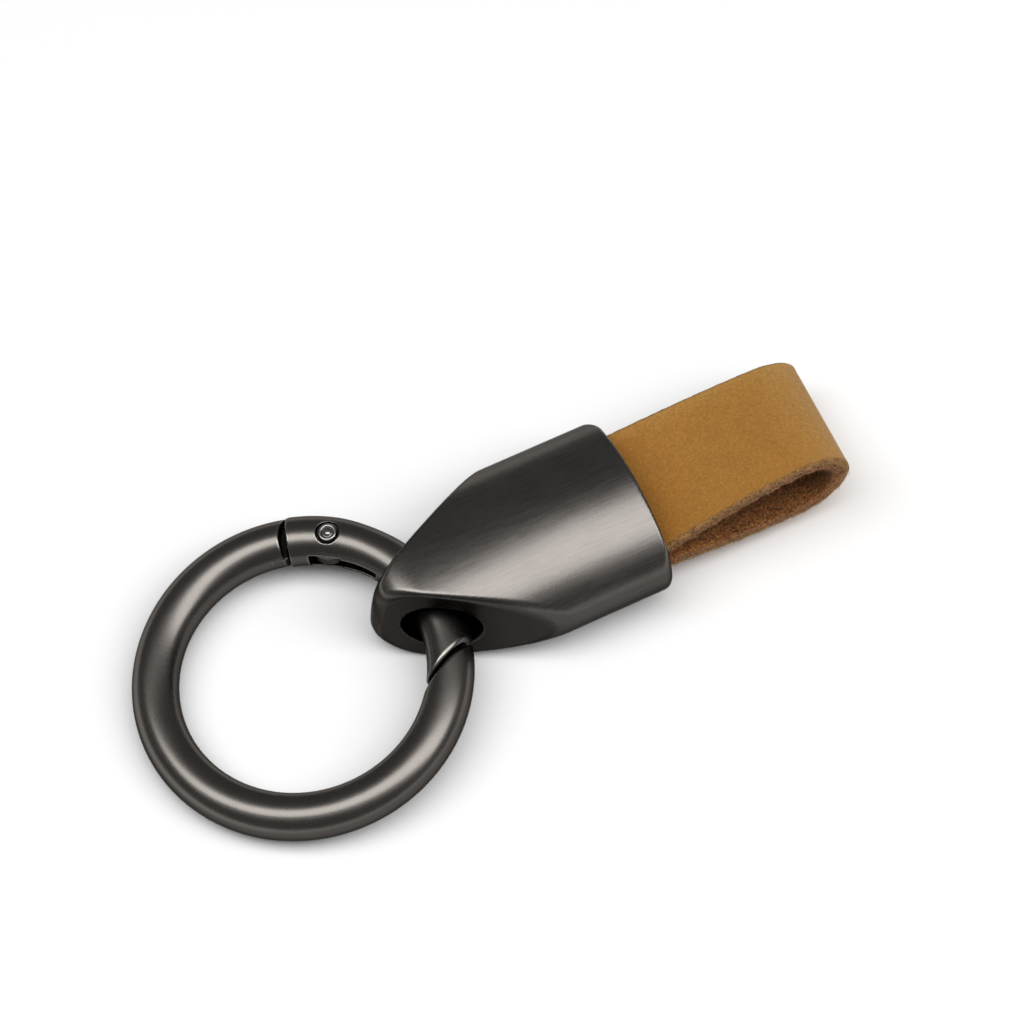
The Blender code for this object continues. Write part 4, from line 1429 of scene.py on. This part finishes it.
@dataclass(frozen=True)
class SpringSet:
    """Coil spring and plunger in the gate's channel."""

    ring: Ring
    wire: float = 0.15
    coil: float = 0.8
    curls: float = 5.0
    curl_points: int = 40
    plunger_head: float = 0.5
    stem_length: float = 2.4
    stem_gap: float = 0.3
    edge: float = 0.08
    root_edge: float = 0.05
    wire_sides: int = 12
    sides: int = 64

    @property
    def frame(self) -> Matrix:
        """Frame of the channel: origin at the tongue's heel, Z along the channel."""
        start, end = self.ring.channel()
        turn = (end - start).to_track_quat("Z", "Y").to_matrix().to_4x4()
        return self.ring.frame @ Matrix.Translation(start) @ turn

    def tree(self, maker: TreeMaker, given: Wire) -> Wire:
        """Sweep round wire along a helix.

        Args:
            maker: The tree's maker.
            given: Its inputs.

        Returns:
            The spring.
        """
        coil = given.out("Coil Radius")
        inputs = {"Resolution": given.out("Points"), "Rotations": given.out("Curls")}
        inputs |= {"Start Radius": coil, "End Radius": coil, "Height": given.out("Height")}
        helix = maker.node("GeometryNodeCurveSpiral", inputs)
        swept = maker.sweep(helix, given.out("Wire Radius"), self.wire_sides)
        inputs = {"Geometry": swept, "Translation": given.out("Start"), "Rotation": given.out("Turn")}
        return maker.node("GeometryNodeTransform", inputs)

    def build(self) -> None:
        """Build the spring and the plunger."""
        steel = TURNED_STEEL.make()
        first = self.plunger_head + self.stem_gap + self.wire
        start, end = self.ring.channel()
        last = (end - start).length - self.stem_gap - self.wire
        values = {
            "Curls": self.curls,
            "Coil Radius": self.coil * MM,
            "Height": (last - first) * MM,
            "Wire Radius": self.wire * MM,
            "Points": self.curl_points,
            "Start": (self.frame @ Vector((0, 0, first))) * MM,
            "Turn": Vector(self.frame.to_euler()),
            "Material": steel,
        }
        source = mesh_piece("spring_source", np.zeros((0, 3)), [])
        piece = grown("coil_spring", source, self.tree, values)
        piece.data.shade_smooth()
        finish_piece(piece, steel, Body.GATE, "spring_steel", "gate_spring")
        head, stem = self.coil + self.wire, self.coil - self.wire - self.stem_gap
        tip = self.plunger_head + self.stem_length
        corners = [(head - self.edge, 0, 0.0), (head, self.edge, 0.0), (head, self.plunger_head, self.edge)]
        corners += [(stem, self.plunger_head, self.root_edge), (stem, tip - self.edge, 0.0)]
        corners += [(stem - self.edge, tip, 0.0)]
        points, faces = turned_mesh(soft_profile(corners), self.sides)
        piece = mesh_piece("plunger", points, faces, None, self.frame)
        finish_piece(piece, steel, Body.PLUNGER, "plunger_steel", "spring_plunger")


@dataclass(frozen=True)
class Softbox:
    """Rectangular studio lamp that faces a point.

    Attributes:
        name: Its name.
        azimuth: Direction of the lamp from the point, in degrees from +X.
        elevation: Its height in degrees.
        distance: Its distance in metres.
        size: Its length and width in metres.
        turn: Turn of its length, in degrees from +X, seen from above.
        radiance: Brightness of its face.
    """

    name: str
    azimuth: float
    elevation: float
    distance: float
    size: Pair
    turn: float
    radiance: float

    def build(self, target: Vector) -> None:
        """Hang the lamp."""
        lamp = bpy.data.lights.new(self.name, "AREA")
        lamp.shape = "RECTANGLE"
        lamp.size, lamp.size_y = self.size
        lamp.energy = self.radiance * math.pi * self.size[0] * self.size[1]
        azimuth, elevation, turn = (math.radians(a) for a in (self.azimuth, self.elevation, self.turn))
        level, up = math.cos(elevation), math.sin(elevation)
        out = Vector((level * math.cos(azimuth), level * math.sin(azimuth), up))
        length = Vector((math.cos(turn), math.sin(turn), 0))
        length = (length - out * length.dot(out)).normalized()
        basis = Matrix((length, out.cross(length), out)).transposed().to_4x4()
        add_object(self.name, lamp).matrix_world = Matrix.Translation(target + out * self.distance) @ basis


@dataclass(frozen=True)
class Studio:
    """Pale floor, soft lamps, dim surroundings and the camera."""

    target: Vector = field(default_factory=lambda: Vector((-0.005, 0.0, 0.006)))
    floor_size: float = 6.0
    surround: float = 0.16
    camera_place: Triple = (-69.391, -151.632, 332.569)
    camera_right: Triple = (0.8995996, -0.4363601, -0.0176193)
    camera_up: Triple = (0.3940855, 0.7937379, 0.4633323)
    camera_lens: float = 126.9
    camera_sensor: float = 36.0
    camera_clip: Pair = (0.01, 10.0)
    lamps: tuple[Softbox, ...] = (
        Softbox("overhead softbox", -90.0, 80.0, 0.8, (1.9, 0.45), -31.0, 3.55),
        Softbox("overhead scrim", -90.0, 78.0, 0.9, (2.6, 0.95), -31.0, 0.32),
    )

    def build(self) -> None:
        """Build the studio."""
        half = self.floor_size / 2
        mesh = bpy.data.meshes.new("floor")
        corners = [(-half, -half, 0), (half, -half, 0), (half, half, 0), (-half, half, 0)]
        mesh.from_pydata(corners, [], [(0, 1, 2, 3)])
        mesh.materials.append(FLOOR_PAPER.make())
        floor = add_object("floor", mesh)
        for lamp in self.lamps:
            lamp.build(self.target)
        world = bpy.data.worlds.new("surroundings")
        world.use_nodes = True
        bpy.context.scene.world = world
        world.node_tree.nodes.clear()
        maker = TreeMaker(world.node_tree)
        glow = maker.node("ShaderNodeBackground", {"Color": (1.0, 1.0, 1.0, 1.0), "Strength": self.surround})
        maker.node("ShaderNodeOutputWorld", {"Surface": glow})
        self.hang_camera()
        bpy.context.scene.view_settings.view_transform = "Standard"

    def hang_camera(self) -> None:
        """Place the camera where the photograph was taken from."""
        camera = bpy.data.cameras.new("camera")
        camera.lens, camera.sensor_width = self.camera_lens, self.camera_sensor
        camera.clip_start, camera.clip_end = self.camera_clip
        right = Vector(self.camera_right).normalized()
        up = Vector(self.camera_up)
        up = (up - right * up.dot(right)).normalized()
        basis = Matrix((right, up, right.cross(up))).transposed().to_4x4()
        obj = add_object("camera", camera)
        obj.matrix_world = Matrix.Translation(Vector(self.camera_place) * MM) @ basis
        bpy.context.scene.camera = obj


def main() -> None:
    """Build the key clip's finished look."""
    logging.basicConfig(level=logging.INFO, format="%(name)s: %(message)s")
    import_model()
    Studio().build()
    hood = Hood()
    hood.build()
    StrapScrew(hood).build()
    Strap(hood.rim_x, hood.middle_z).build()
    ring = Ring()
    ring.build()
    HingeRivet(ring).build()
    SpringSet(ring).build()


if __name__ == "__main__":
    main()
